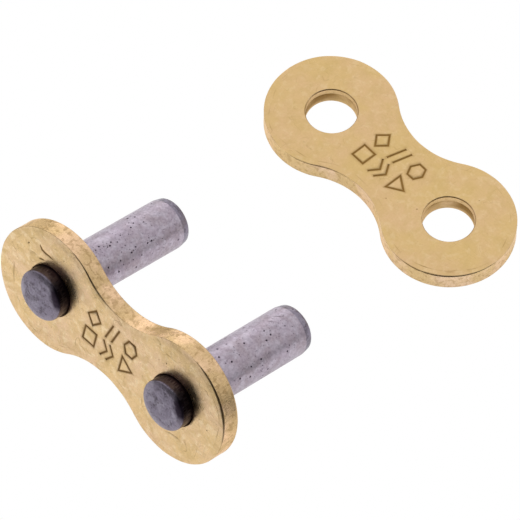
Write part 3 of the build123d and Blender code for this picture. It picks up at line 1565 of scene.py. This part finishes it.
@dataclass(kw_only=True)
class PinPlate(LinkPlate):
    """The plate that holds the pins, scuffed where they were staked."""

    pin_radius: float
    seat_swell: float = 0.02  # how much the seats are wider than that at the marked face
    seat_chamfer: float = 0.12  # bevel of their mouths
    bevel_bow: float = 1.2  # power that bows the bevel
    seat_shade: float = 0.25  # painted shade in the seats, deepening down the bevel into the gap round the pin, from 0 to 1

    def hole_section(self) -> List[Triple]:
        """A bevelled mouth over a seat that narrows toward the inner face.

        Returns:
            Radius, height and stain of each ring, the stain being painted shade.
        """
        # Painted shade darkens the seat's bevel toward the gap round the pin.
        top, bevel, stain = self.sizes.thickness, self.seat_chamfer, self.seat_shade
        seat = self.pin_radius + self.seat_swell
        shoulder = top - bevel
        mouth = [
            (seat + bevel * (1 - share), top - bevel * share**self.bevel_bow, stain * share)
            for share in (0.0, 0.15, 0.5, 0.85, 1.0)
        ]
        below = [(seat - self.seat_swell * share, shoulder * (1 - share), stain) for share in (0.5, 1.0)]
        return mouth + below

    def wear(self) -> List[Recess]:
        """Tool scratches and rubbed places beside the stubs, pits, and grains in the plating.

        Returns:
            The recesses.
        """
        tool_mark = (-8.25, 3.3), (-8.1, 3.06), (-7.9, 2.86), (-7.5, 2.81), (-7.0, 2.84), (-6.4, 2.82)
        edge_rub = (-10.05, 0.0), (-9.95, -0.5), (-9.8, -1.2), (-9.6, -1.8), (-9.5, -2.4)
        return [
            Scratch(tool_mark, 0.15, 0.024, 0.95),
            Scratch(((-9.1, 1.84), (-8.78, 1.97), (-8.5, 2.05), (-8.04, 2.07)), 0.06, 0.012, 0.4),
            Scratch(((-8.1, 1.88), (-7.85, 2.0), (-7.6, 2.1), (-7.3, 2.2)), 0.12, 0.018, 0.85),
            Scratch(((6.3, -3.33), (6.6, -3.08), (6.95, -2.9), (7.6, -2.78), (8.3, -2.86)), 0.04, 0.02, 0.4),
            Scratch(edge_rub, 0.2, 0.01, 0.32),
            Scratch(((-9.2, -2.75), (-8.95, -2.98), (-8.7, -3.15), (-8.4, -3.35)), 0.15, 0.01, 0.35),
            Pit((-9.17, 2.5), 0.09, 0.03, 0.6, 1),
            Pit((4.3, 2.4), 0.05, 0.02, 0.4, 2),
            Pit((5.0, 2.62), 0.07, 0.02, 0.5, 3),
            Pit((4.5, -4.05), 0.05, 0.02, 0.4, 4),
            Pit((9.85, 0.05), 0.06, 0.02, 0.5, 5),
            Pit((8.95, 0.4), 0.05, 0.015, 0.3, 6),
            Pit((-5.18, 2.03), 0.055, -0.03, 0.0, 7),
            Pit((7.99, 1.71), 0.04, -0.02, 0.0, 8),
        ]


@dataclass(kw_only=True)
class CoverPlate(LinkPlate):
    """The loose plate, with clean press-fit holes."""

    hole_radius: float
    mouth_round: float = 0.105  # rounding of their mouths
    mouth_points: int = 8  # points down that rounding
    mouth_shade: float = 0.55  # painted dark reflection in the upper mouth's middle: how dark it is, from 0 to 1
    lower_stain: float = 0.2  # how dark the lower mouth is
    punched_share: float = 0.34  # share of the wall that was punched clean, above its torn part
    step_height: float = 0.05  # half the height of the step between the two
    step_depth: float = 0.03  # how far the torn part starts outside the punched one
    step_shade: float = 0.85  # painted shadow line along the step: how dark it is
    # How dark the torn part is at its top, and how much that fades down to its foot
    torn_stain: Tuple[float, float] = (0.76, 0.3)

    def hole_section(self) -> List[Triple]:
        """A wall with both mouths rounded over, and a small step between its punched and its torn part.

        Returns:
            Radius, height and stain of each ring, painted shade included.
        """
        top, mouth, radius, depth = self.sizes.thickness, self.mouth_round, self.hole_radius, self.step_depth
        rounded = arc(mouth, 90, 180, self.mouth_points, (radius + mouth, top - mouth))
        last = self.mouth_points - 1
        # Painted dark reflection round the upper mouth's rounding.
        stains = [self.mouth_shade * math.sin(index * math.pi / last) for index in range(last + 1)]
        upper = [(reach, height, stain) for (reach, height), stain in zip(rounded, stains)]
        step = top - mouth - (top - 2 * mouth) * self.punched_share
        # The step's rings carry a painted shadow line.
        middle = [
            (radius, step + self.step_height, 0.0),
            (radius + depth * 0.5, step + self.step_height * 0.4, self.step_shade),
            (radius + depth, step - self.step_height, self.step_shade),
        ]
        stain, fade = self.torn_stain
        middle += [
            (radius + depth * (1 - share), step * (1 - share) + mouth * share, stain - fade * share)
            for share in (0.12, 0.3, 0.6)
        ]
        lower = [(reach, top - height, self.lower_stain) for reach, height in reversed(rounded)]
        return upper + middle + lower

    def wear(self) -> List[Recess]:
        """A few small pits.

        Returns:
            The recesses.
        """
        return [
            Pit((4.48, -0.22), 0.06, 0.025, 0.6, 11),
            Pit((4.2, -1.15), 0.06, 0.02, 0.5, 12),
            Pit((6.64, 2.75), 0.05, 0.02, 0.4, 13),
            Pit((8.72, 3.8), 0.07, 0.02, 0.4, 14),
            Pit((2.0, -2.2), 0.05, 0.02, 0.4, 15),
            Pit((10.5, 1.6), 0.05, 0.02, 0.35, 16),
        ]


# ---- pins


@dataclass(frozen=True)
class PinSizes:
    """Sizes of a pin, in millimetres."""

    radius: float  # radius of its body
    head: float  # height of its stub's face over the plate's inner face
    reach: float  # how far its far end lies beyond that face
    thickness: float  # thickness of the plate that it sits in
    lead_length: float = 0.62
    lead_depth: float = 0.12  # how much the lead-in takes off the radius
    crown_width: float = 0.4
    crown_drop: float = 0.16  # how far that ring falls
    crown_round: float = 0.15  # rounding at its outer edge
    crown_points: int = 9  # points down that rounding
    seat_swell: float = 0.02  # how much the seat is wider than the body
    hole_radius: float = 0.95  # radius of the drilled rivet hole
    hole_depth: float = 1.2
    drill_angle: float = 118.0
    # Radius of a ring of points near the drilled point, and how far it lies from it
    drill_ring: Point = (0.3, 0.18)
    edge_break: float = 0.03  # small rounding of the turned edges
    around: int = 160  # points round it
    body_step: float = 0.2  # spacing of points along the body
    face_step: float = 0.065  # spacing of points on the stub's face

    @property
    def seat_radius(self) -> float:
        """Radius of the seat and the stub."""
        return self.radius + self.seat_swell

    @property
    def face_radius(self) -> float:
        """Radius of the stub's face, inside the crowned ring."""
        return self.seat_radius - self.crown_width

    @property
    def girth(self) -> float:
        """Length once round the body."""
        return math.tau * self.radius

    def unrolled(self, angle: float, height: float) -> Point:
        """A place on the body, from its angle in degrees and its height, on the unrolled sheet."""
        return ((angle + 90) % 360) / 360 * self.girth, height


@dataclass(frozen=True)
class CrownShade:
    """Painted shade on a stub's crown and face: on the side turned from the light, and over its upper half.
    """

    angle: float = 33.0  # where it is darkest, in degrees
    reach: float = 27.0  # how far it reaches to each side, in degrees
    upper: float = 0.22  # how dark the crown's upper half is beside it, from 0 to 1
    upper_angle: float = 80.0  # middle of that half, in degrees
    upper_fade: float = 0.7  # power by which the half fades

    def at(self, x: float, y: float) -> float:
        """How much painted shade lies on the crown at a place.

        Args:
            x: The place along the pitch, from the pin's axis.
            y: The place across it.

        Returns:
            The darkness from 0 to 1.
        """
        turn = math.degrees(math.atan2(y, x))
        away = abs((turn - self.angle + 180) % 360 - 180) / self.reach
        half = max(0.0, math.cos(math.radians(turn - self.upper_angle)))
        return max(math.exp(-away * away), self.upper * half**self.upper_fade)


@dataclass(frozen=True)
class StubRelief:
    """Uneven surface of a stub's face, in millimetres."""

    mean_sink: float = 0.018  # how deep it lies on average
    lump_sink: float = 0.018  # how much lumps change that
    lump_scale: float = 1.3  # how close the lumps are
    lump_fractal: Tuple[float, float, int] = (0.7, 2.2, 4)  # their roughness, lacunarity and octaves
    hollow_sink: float = 0.02  # depth of its sunken part
    hollow_scale: float = 0.55  # how close sunken parts are
    hollow_edge: float = 6.0  # how steep their borders are
    hollow_layer: float = 1.7  # how far apart the layers lie that two seeds take them from
    fade: float = 0.25  # width of the band at the rim where all that fades out
    dome: float = 0.065  # how far the rim lies under the middle
    dome_start: float = 0.8  # radius at which the face starts to fall
    dome_bow: float = 3.0  # power of that fall
    shade_bow: float = 2.5  # power by which the painted crown shade grows toward the rim
    ring_count: int = 13  # rings of points between there and the rim

    def outer(self, x: float, y: float, radius: float) -> float:
        """How far out a place on a face of that radius lies, from 0 where it starts to fall to 1."""
        return max(0.0, (math.hypot(x, y) - self.dome_start) / (radius - self.dome_start))

    def lowered(self, top: float, x: float, y: float, radius: float, seed: int) -> float:
        """Height of the face at a place.

        Args:
            top: What it would be without the relief.
            x: The place along the pitch, from the pin's axis.
            y: The place across it.
            radius: Radius of the face.
            seed: Settles its lumps.

        Returns:
            The height.
        """
        lump_place = Vector((x * self.lump_scale + seed, y * self.lump_scale, 0.0))
        lumps = noise.fractal(lump_place, *self.lump_fractal)
        hollow_place = Vector((x * self.hollow_scale, y * self.hollow_scale, seed * self.hollow_layer))
        hollows = noise.noise(hollow_place)
        sink = self.mean_sink + self.lump_sink * clamp(lumps, low=-1.0)
        sink += self.hollow_sink * clamp(hollows * self.hollow_edge + 0.5)
        fade = min(1.0, (radius - math.hypot(x, y)) / self.fade)
        return top - fade * sink - self.dome * self.outer(x, y, radius) ** self.dome_bow


@dataclass(frozen=True)
class Pitting:
    """Pits and scratches of a pin's body, in millimetres."""

    spots: Sequence[Point]  # larger pits, each by its angle in degrees and its height
    scores: Sequence[Sequence[Point]]  # scratches, each a path in the same measures
    count: int = 190  # how many pits there are
    clusters: int = 9  # round how many places they gather
    clustered: float = 0.4  # share of them that gather
    # How far they lie from such a place, round the body and along it
    spread: Tuple[float, float] = (0.6, 0.5)
    edge: float = 0.3  # how far they keep from the unrolled sheet's edges
    least: float = 0.035  # radius of the smallest
    growth: float = 0.075  # how much larger the largest is
    rarity: int = 3  # power by which large ones are rarer
    gap: float = 1.6  # how far they keep from one another, in radii
    slope: float = 0.4  # their depth, in radii
    stains: Tuple[float, float] = (0.3, 0.75)  # how dark the faintest and the darkest are, from 0 to 1
    spot_size: Triple = (0.09, 0.03, 0.8)  # radius, depth and stain of the larger pits
    score_size: Triple = (0.025, 0.012, 0.8)  # half width, depth and stain of the scratches
    score_gap: float = 0.2  # how far pits keep from scratches

    def recesses(self, sizes: PinSizes, length: float, seed: int) -> List[Recess]:
        """Scatters the pits and places the scratches.

        Args:
            sizes: The pin's sizes.
            length: Length of the body.
            seed: Settles where the pits lie.

        Returns:
            The recesses of the unrolled body.
        """
        draw, girth, edge = Random(seed), sizes.girth, self.edge
        paths = [[sizes.unrolled(*place) for place in path] for path in self.scores]
        scores = [Scratch(path, *self.score_size) for path in paths]
        middles = [(draw.uniform(1, girth - 1), -draw.uniform(1, length - 1)) for _ in range(self.clusters)]
        pits = [
            Pit(sizes.unrolled(*spot), *self.spot_size, seed + index) for index, spot in enumerate(self.spots)
        ]
        while len(pits) < self.count:
            radius = self.least + self.growth * draw.random() ** self.rarity
            centre = (draw.uniform(edge, girth - edge), -draw.uniform(edge, length - edge))
            if draw.random() < self.clustered:
                middle = draw.choice(middles)
                centre = (draw.gauss(middle[0], self.spread[0]), draw.gauss(middle[1], self.spread[1]))
            inside = edge < centre[0] < girth - edge and edge < -centre[1] < length - edge
            if inside and all(pit.clearance(centre) > radius * self.gap for pit in pits):
                stain = draw.uniform(*self.stains)
                pits.append(Pit(centre, radius, radius * self.slope, stain, seed + len(pits)))
        clear = [pit for pit in pits if all(score.clearance(pit.centre) > self.score_gap for score in scores)]
        return [*clear, *scores]


@dataclass(kw_only=True)
class ChainPin:
    """A turned pin: crowned stub, seat, pitted body, lead-in and drilled far end."""

    node: str  # the CAD node that it stands for
    side: Side
    placement: Placement
    pitch: float  # distance between the pins, in millimetres
    sizes: PinSizes
    finish: PinSteel
    pitting: Pitting
    seed: int  # settles its small unevenness
    relief: StubRelief = StubRelief()
    crown_shade: CrownShade = CrownShade()  # painted shade on one side of its crown and face
    crown_end: float = 0.75  # the end-face mask on the crown
    far_end: float = 0.7  # the end-face mask on the far end and in its hole
    # Painted dark reflection on the lead-in: the end-face mask at its start and along it
    lead_end_shade: Tuple[float, float] = (0.3, 0.95)
    shoulder_stain: float = 0.25  # how dark the crown's edge is outside the painted crown shade, from 0 to 1
    # Painted shade on the stub's side: how dark it is near the crown, and half of what it is near the plate,
    # where it deepens as painted contact shadow
    side_shade: float = 0.4
    crease: float = 40.0  # angle in degrees above which an edge is shaded sharp
    draft: MeshDraft = field(init=False, default_factory=MeshDraft)

    def build(self) -> bpy.types.Object:
        """Builds the pin's closed mesh.

        Returns:
            The piece, in place.
        """
        self._stub()
        self._stub_face()
        self._body()
        self._far_end()
        shift = self.side.value * self.pitch / 2
        return self.draft.to_object(self.node + "_steel", self.placement.matrix(shift), self.crease)

    def dress(self, piece: bpy.types.Object) -> None:
        """Gives the piece its finish and its place in the frame.

        Args:
            piece: The pin's piece.
        """
        piece.data.materials.append(self.finish.material())
        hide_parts(self.node)
        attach(piece, BODY)

    def _turned(
        self, section: Sequence[Point], end: float, stain: float = 0.0, crown_shade: float = 0.0
    ) -> List[List[int]]:
        """Lofts rings for a turned section.

        Args:
            section: Radius and height of each ring.
            end: The end-face mask.
            stain: The stain-and-shade mask.
            crown_shade: What is added to it as painted shade where the crown shade falls.

        Returns:
            The rings.
        """
        rings = []
        for radius, height in section:
            ring = []
            for x, y in circle(radius, self.sizes.around):
                dark = min(1.0, stain + crown_shade * self.crown_shade.at(x, y))
                ring.append(self.draft.point((x, y, height), {Mask.END: end, Mask.RECESS: dark}))
            rings.append(ring)
        self.draft.loft(rings)
        return rings

    def _stub(self) -> None:
        """The stub's crowned ring and its side, down to the inner face of the plate."""
        sizes = self.sizes
        seat = sizes.seat_radius
        slope = math.degrees(math.atan2(sizes.crown_drop, sizes.crown_width))
        tangent = sizes.crown_round * math.tan(math.radians(90 - slope) / 2)
        corner = sizes.head - sizes.crown_drop
        centre = (seat - sizes.crown_round, corner - tangent)
        shoulder = arc(sizes.crown_round, 90 - slope, 0, sizes.crown_points, centre)
        side = [(seat, height) for height in np.linspace(corner - tangent, sizes.thickness, 4)[1:]]
        middle = sizes.crown_points // 2
        crown = [(sizes.face_radius, sizes.head - self.relief.dome), *shoulder[: middle + 1]]
        # The crown takes painted shade on its shaded side and over its upper half.
        self._turned(crown, end=self.crown_end, crown_shade=1.0)
        stain = self.shoulder_stain
        self._turned(shoulder[middle:], end=self.crown_end, stain=stain, crown_shade=1.0 - stain)
        # The stub's side takes painted shade, twice as dark down by the plate as painted contact shadow.
        self._turned([shoulder[-1], *side[:2]], end=1.0, stain=self.side_shade)
        self._turned([*side[1:], (sizes.radius, 0.0)], end=1.0, stain=2 * self.side_shade)

    def _stub_face(self) -> None:
        """The stub's uneven face, with painted shade toward its rim on the shaded side."""
        sizes, relief = self.sizes, self.relief
        radius = sizes.face_radius
        grid = hex_grid((-radius, -radius), (radius, radius), sizes.face_step)
        fill = [point for point in grid if math.hypot(*point) < relief.dome_start]
        first = relief.dome_start + 0.5 * sizes.face_step
        for ring_radius in np.linspace(first, radius, relief.ring_count + 1)[:-1]:
            fill += circle(ring_radius, sizes.around)
        sheet = triangulate([Chain.rim(circle(radius, sizes.around))], [], fill, 0.0)
        # The face's stains are painted shade, growing toward the rim on the shaded side.
        for index, (x, y) in enumerate(sheet.points):
            face_shade = relief.outer(x, y, radius) ** relief.shade_bow * self.crown_shade.at(x, y)
            sheet.stains[index] = min(1.0, face_shade)
        self.draft.panel(
            sheet,
            lambda x, y, depth: (x, y, relief.lowered(sizes.head - depth, x, y, radius, self.seed)),
            {Mask.END: 1.0},
        )

    def _body(self) -> None:
        """The body, drafted as a flat sheet, pitted, and rolled up with its seam below."""
        sizes = self.sizes
        length = sizes.reach - sizes.lead_length - sizes.edge_break
        rows = round(length / sizes.body_step)
        xs = [sizes.girth * step / sizes.around for step in range(sizes.around + 1)]
        ys = [-length * step / rows for step in range(rows + 1)]
        rim = [(x, 0.0) for x in xs] + [(sizes.girth, y) for y in ys[1:]]
        rim += [(x, -length) for x in xs[-2::-1]] + [(0.0, y) for y in ys[-2:0:-1]]
        fill = [(x, y) for x in xs[1:-1] for y in ys[1:-1]]
        recesses = self.pitting.recesses(sizes, length, self.seed)
        sheet = triangulate([Chain.rim(rim)], recesses, fill, sizes.body_step / 10)

        def roll_up(x: float, y: float, depth: float) -> Triple:
            """Takes the unrolled sheet round the pin."""
            turn, radius = x / sizes.radius - math.pi / 2, sizes.radius - depth
            return radius * math.cos(turn), radius * math.sin(turn), y

        self.draft.panel(sheet, roll_up)

    def _far_end(self) -> None:
        """The lead-in, the end face and the rivet hole drilled in it."""
        sizes = self.sizes
        start, end, small = sizes.lead_length - sizes.reach, -sizes.reach, sizes.edge_break
        depth, length = sizes.lead_depth, sizes.lead_length
        end_radius, taper = sizes.radius - depth, depth / length
        lead = [
            (sizes.radius, small + start),
            (sizes.radius - small * taper * 0.3, start),
            (sizes.radius - small * taper, start - small),
            *((sizes.radius - share * depth, start - share * length) for share in (0.3, 0.6)),
            (end_radius + small * taper, small + end),
            (end_radius - small * 0.3, small * 0.3 + end),
        ]
        bottom = sizes.hole_depth + end
        tip = bottom + sizes.hole_radius / math.tan(math.radians(sizes.drill_angle / 2))
        face = [
            lead[-1],
            (end_radius - small, end),
            ((end_radius + sizes.hole_radius) / 2, end),
            (sizes.hole_radius + small, end),
            (sizes.hole_radius, small + end),
            (sizes.hole_radius, bottom),
            (sizes.drill_ring[0], tip - sizes.drill_ring[1]),
        ]
        # The lead-in takes the end faces' darker colour as painted dark reflection.
        self._turned(lead[:2], end=self.lead_end_shade[0])
        self._turned(lead[1:], end=self.lead_end_shade[1])
        rings = self._turned(face, end=self.far_end)
        self.draft.fan(rings[-1], (0.0, 0.0, tip), {Mask.END: self.far_end})


# ---- studio


def direction(azimuth: float, elevation: float) -> Vector:
    """Direction at an azimuth from -Y toward +X and an elevation, in degrees."""
    turn, rise = math.radians(azimuth), math.radians(elevation)
    return Vector((math.sin(turn) * math.cos(rise), -math.cos(turn) * math.cos(rise), math.sin(rise)))


@dataclass(frozen=True)
class Shade:
    """A soft-edged part of the studio's white surround that is darker or brighter than the rest."""

    azimuth: float  # of its middle, in degrees
    elevation: float
    core: float  # radius of its even middle, in degrees
    edge: float  # radius at which it ends, in degrees
    strength: float  # share of the light that it takes away, below 0 what it adds
    flatten: float = 1.0  # how much lower it is than wide

    def light(self, graph: Graph, ray: Socket) -> Socket:
        """What it leaves of the light.

        Args:
            graph: The surround's graph.
            ray: Direction that is looked in.

        Returns:
            The share's socket.
        """
        squash = Vector((1.0, 1.0, self.flatten))
        middle = (direction(self.azimuth, self.elevation) * squash).normalized()
        unit = graph.vector("NORMALIZE", graph.vector("MULTIPLY", ray, tuple(squash)))
        near = graph.vector("DOT_PRODUCT", unit, tuple(middle), output="Value")
        core, edge = math.cos(math.radians(self.core)), math.cos(math.radians(self.edge))
        return graph.step(near, edge, core, (1.0, 1.0 - self.strength))


@dataclass(frozen=True)
class Viewpoint:
    """The camera's place."""

    target: Triple  # where it looks, in millimetres
    azimuth: float  # from -Y toward +X, in degrees
    elevation: float
    roll: float  # how far it is rolled, in degrees
    distance: float  # its distance from the target, in millimetres
    lens: float  # focal length in millimetres
    sensor: float = 36.0  # width of the sensor in millimetres
    clip_start: float = 0.01  # nearest distance that it sees, in metres

    def matrix(self) -> Matrix:
        """Works out the camera's place and direction.

        Returns:
            The camera's matrix.
        """
        back = direction(self.azimuth, self.elevation)
        level = Vector((math.cos(math.radians(self.azimuth)), math.sin(math.radians(self.azimuth)), 0.0))
        axes = Matrix((level, back.cross(level), back)).transposed().to_4x4()
        place = (Vector(self.target) + back * self.distance) * MM
        return Matrix.Translation(place) @ axes @ Matrix.Rotation(math.radians(self.roll), 4, "Z")


@dataclass
class Studio:
    """White surround with darker and brighter parts, a softbox, a white floor and the camera."""

    view: Viewpoint
    shades: Sequence[Shade]
    box_side: Vector  # direction of the softbox
    box_power: float = 0.05  # power of the softbox, in watts
    sky: float = 1.0  # brightness of the surround
    paper: FloorPaper = FloorPaper()
    box_distance: float = 0.9  # how far the softbox stands off, in metres
    box_size: float = 0.7  # its width and height
    floor_size: float = 4.0  # length of the floor's sides
    floor_gap: float = 0.01  # how far the floor lies under the part, in millimetres

    def build(self) -> None:
        """Builds the surround, the softbox, the floor and the camera."""
        self._surround()
        self._softbox()
        self._floor()
        self._camera()
        bpy.context.scene.view_settings.view_transform = "Standard"

    def _surround(self) -> None:
        """The world: even white to the camera, shaded white to everything else."""
        world = bpy.data.worlds.new("surround")
        bpy.context.scene.world = world
        world.use_nodes = True
        graph = Graph(world.node_tree)
        ray = graph.add("TexCoord").outputs["Generated"]
        light, *others = [shade.light(graph, ray) for shade in self.shades]
        for other in others:
            light = graph.math("MULTIPLY", light, other)
        strength = graph.math("MULTIPLY", light, self.sky)
        shaded = graph.add("Background", {"Color": WHITE, "Strength": strength}).outputs[0]
        even = graph.add("Background", {"Color": WHITE, "Strength": self.paper.seen}).outputs[0]
        looked_at = graph.add("LightPath").outputs["Is Camera Ray"]
        mixed = graph.add("MixShader", {0: looked_at, 1: shaded, 2: even}).outputs[0]
        graph.add("OutputWorld", {"Surface": mixed})

    def _softbox(self) -> None:
        """A square softbox that faces the part."""
        lamp = bpy.data.lights.new("softbox", "AREA")
        lamp.size = self.box_size
        lamp.energy = self.box_power
        box = add_object("softbox", lamp)
        box.location = self.box_side * self.box_distance
        box.rotation_euler = self.box_side.to_track_quat("Z", "Y").to_euler()

    def _floor(self) -> None:
        """A wide sheet at the height that the part rests on."""
        half = self.floor_size / 2
        corners = [(-half, -half, 0), (half, -half, 0), (half, half, 0), (-half, half, 0)]
        mesh = bpy.data.meshes.new("floor")
        mesh.from_pydata(corners, [], [(0, 1, 2, 3)])
        mesh.materials.append(self.paper.material())
        floor = add_object("floor", mesh)
        floor.location.z = cad_box[0][2] - self.floor_gap * MM

    def _camera(self) -> None:
        """The camera."""
        lens = bpy.data.cameras.new("camera")
        lens.sensor_width = self.view.sensor
        lens.lens = self.view.lens
        lens.clip_start = self.view.clip_start
        camera = add_object("camera", lens)
        camera.matrix_world = self.view.matrix()
        bpy.context.scene.camera = camera


# ---- assembly


PIN_PLATING = GoldPlating(  # pale and worn
    name="Gold plating, pin plate",
    base=(0.79, 0.57, 0.303),
    blush=(0.79, 0.56, 0.37),
    shade=(0.55, 0.39, 0.175),
    cream=(0.93, 0.75, 0.5),
    stain=(0.205, 0.112, 0.036),
    wall=(0.64, 0.45, 0.235),
    shear=(0.3, 0.18, 0.068),
    peach=(0.86, 0.59, 0.37),
    wear=1.0,
    roughness=0.24,
    offset=(3.0, 7.0, 1.0),
)
COVER_PLATING = GoldPlating(  # deeper in colour and cleaner
    name="Gold plating, cover plate",
    base=(0.69, 0.48, 0.215),
    blush=(0.71, 0.478, 0.262),
    shade=(0.56, 0.39, 0.15),
    cream=(0.82, 0.62, 0.37),
    stain=(0.27, 0.145, 0.035),
    wall=(0.72, 0.53, 0.28),
    shear=(0.4, 0.26, 0.11),
    peach=(0.83, 0.61, 0.42),
    wear=0.6,
    roughness=0.26,
    offset=(31.0, 2.0, 5.0),
)


def pin_pitting(side: Side) -> Pitting:
    """The marks on one pin's body: larger pits on both, and two fine scratches on the right one.

    Args:
        side: Which pin it is.

    Returns:
        The pitting.
    """
    if side is Side.LEFT:
        upper = (99, -6.76), (92, -6.29), (85, -4.02), (79, -3.74), (90, -2.96)
        return Pitting(spots=(*upper, (44, -7.13), (44, -6.72), (40, -2.66)), scores=())
    upper = (88, -5.15), (74, -7.44), (68, -6.84), (67, -3.25), (90, -2.67)
    scores = (
        ((111.0, -8.9), (105.0, -9.05), (99.0, -9.25), (94.5, -9.4)),
        ((107.0, -8.0), (102.0, -8.2), (97.0, -8.42), (93.0, -8.6)),
    )
    return Pitting(spots=(*upper, (40, -5.68), (37, -4.63), (23, -8.24)), scores=scores)


def plate_sizes(node: str, placement: Placement) -> PlateSizes:
    """Sizes of a plate, from its CAD node and the distance between the pins."""
    high, pins = placement.extents(node)[1], mount_place("pin_right_body") - mount_place("pin_left_body")
    return PlateSizes(pitch=pins.length / MM, lobe_radius=high.y, thickness=high.z)


def make_plates() -> List[LinkPlate]:
    """Makes the pin plate and the cover plate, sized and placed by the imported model.

    Returns:
        The two plates.
    """
    link = placement_from("pin_plate_inner_face", "pin_left_body", "pin_right_body")
    cover = placement_from("cover_inner_face", "cover_hole_left", "cover_hole_right")
    return [
        PinPlate(
            node="pin_plate",
            placement=link,
            sizes=plate_sizes("pin_plate", link),
            finish=PIN_PLATING,
            seed=3,
            soft_spots=(SoftSpot((10.6, 3.0), 1.0, 3.8), SoftSpot((-2.6, 3.3), 0.55, 3.0)),
            pin_radius=mount_radius("pin_left_body"),
        ),
        CoverPlate(
            node="cover_plate",
            placement=cover,
            sizes=plate_sizes("cover_plate", cover),
            finish=COVER_PLATING,
            seed=43,
            soft_spots=(SoftSpot((9.4, -3.95), 0.8, 4.2), SoftSpot((-3.4, -4.0), 0.5, 2.6)),
            hole_radius=mount_radius("cover_hole_left"),
        ),
    ]


def make_pins(plate: LinkPlate) -> List[ChainPin]:
    """Makes the two pins that stand in the pin plate.

    Args:
        plate: The pin plate.

    Returns:
        The pins.
    """
    pins = []
    for side in Side:
        name = side.name.lower()
        node = "pin_" + name
        low, high = plate.placement.extents(node, plate.sizes.hole_centre(side)[0])
        radius, thickness = mount_radius(node + "_body"), plate.sizes.thickness
        sizes = PinSizes(radius=radius, head=high.z, reach=-low.z, thickness=thickness)
        pin = ChainPin(
            node=node,
            side=side,
            placement=plate.placement,
            pitch=plate.sizes.pitch,
            sizes=sizes,
            finish=PinSteel("Pin steel, " + name, offset=(side.value * 9.0, 4.0, 2.0)),
            pitting=pin_pitting(side),
            seed=50 + side.value * 7,
        )
        pins.append(pin)
    return pins


def make_studio() -> Studio:
    """Makes the studio, seen from the front right and above.

    Returns:
        The studio.
    """
    link = mount_place("pin_plate_inner_face") / MM
    view = Viewpoint(
        target=(link.x - 0.280, link.y + 13.599, 0.0),
        azimuth=45.18,
        elevation=56.80,
        roll=0.96,
        distance=396.1,
        lens=377.6,
    )
    shades = (
        Shade(azimuth=40, elevation=15, core=45, edge=70, strength=0.985),
        Shade(azimuth=82, elevation=54, core=22, edge=42, strength=0.95),
        Shade(azimuth=-50, elevation=6, core=8, edge=32, strength=0.7, flatten=2.0),
        Shade(azimuth=136, elevation=-7, core=24, edge=50, strength=0.75, flatten=3.2),
        Shade(azimuth=-130, elevation=2, core=12, edge=34, strength=-0.6),
    )
    return Studio(view, shades, box_side=direction(-133, 65))


def main() -> None:
    """Builds the plates, the pins and the studio."""
    logging.basicConfig(level=logging.INFO, format="%(name)s: %(message)s")
    plates = make_plates()
    for part in [*plates, *make_pins(plates[0])]:
        piece = part.build()
        part.dress(piece)
        log.info("%s: %d faces", piece.name, len(piece.data.polygons))
    make_studio().build()


if __name__ == "__main__":
    main()
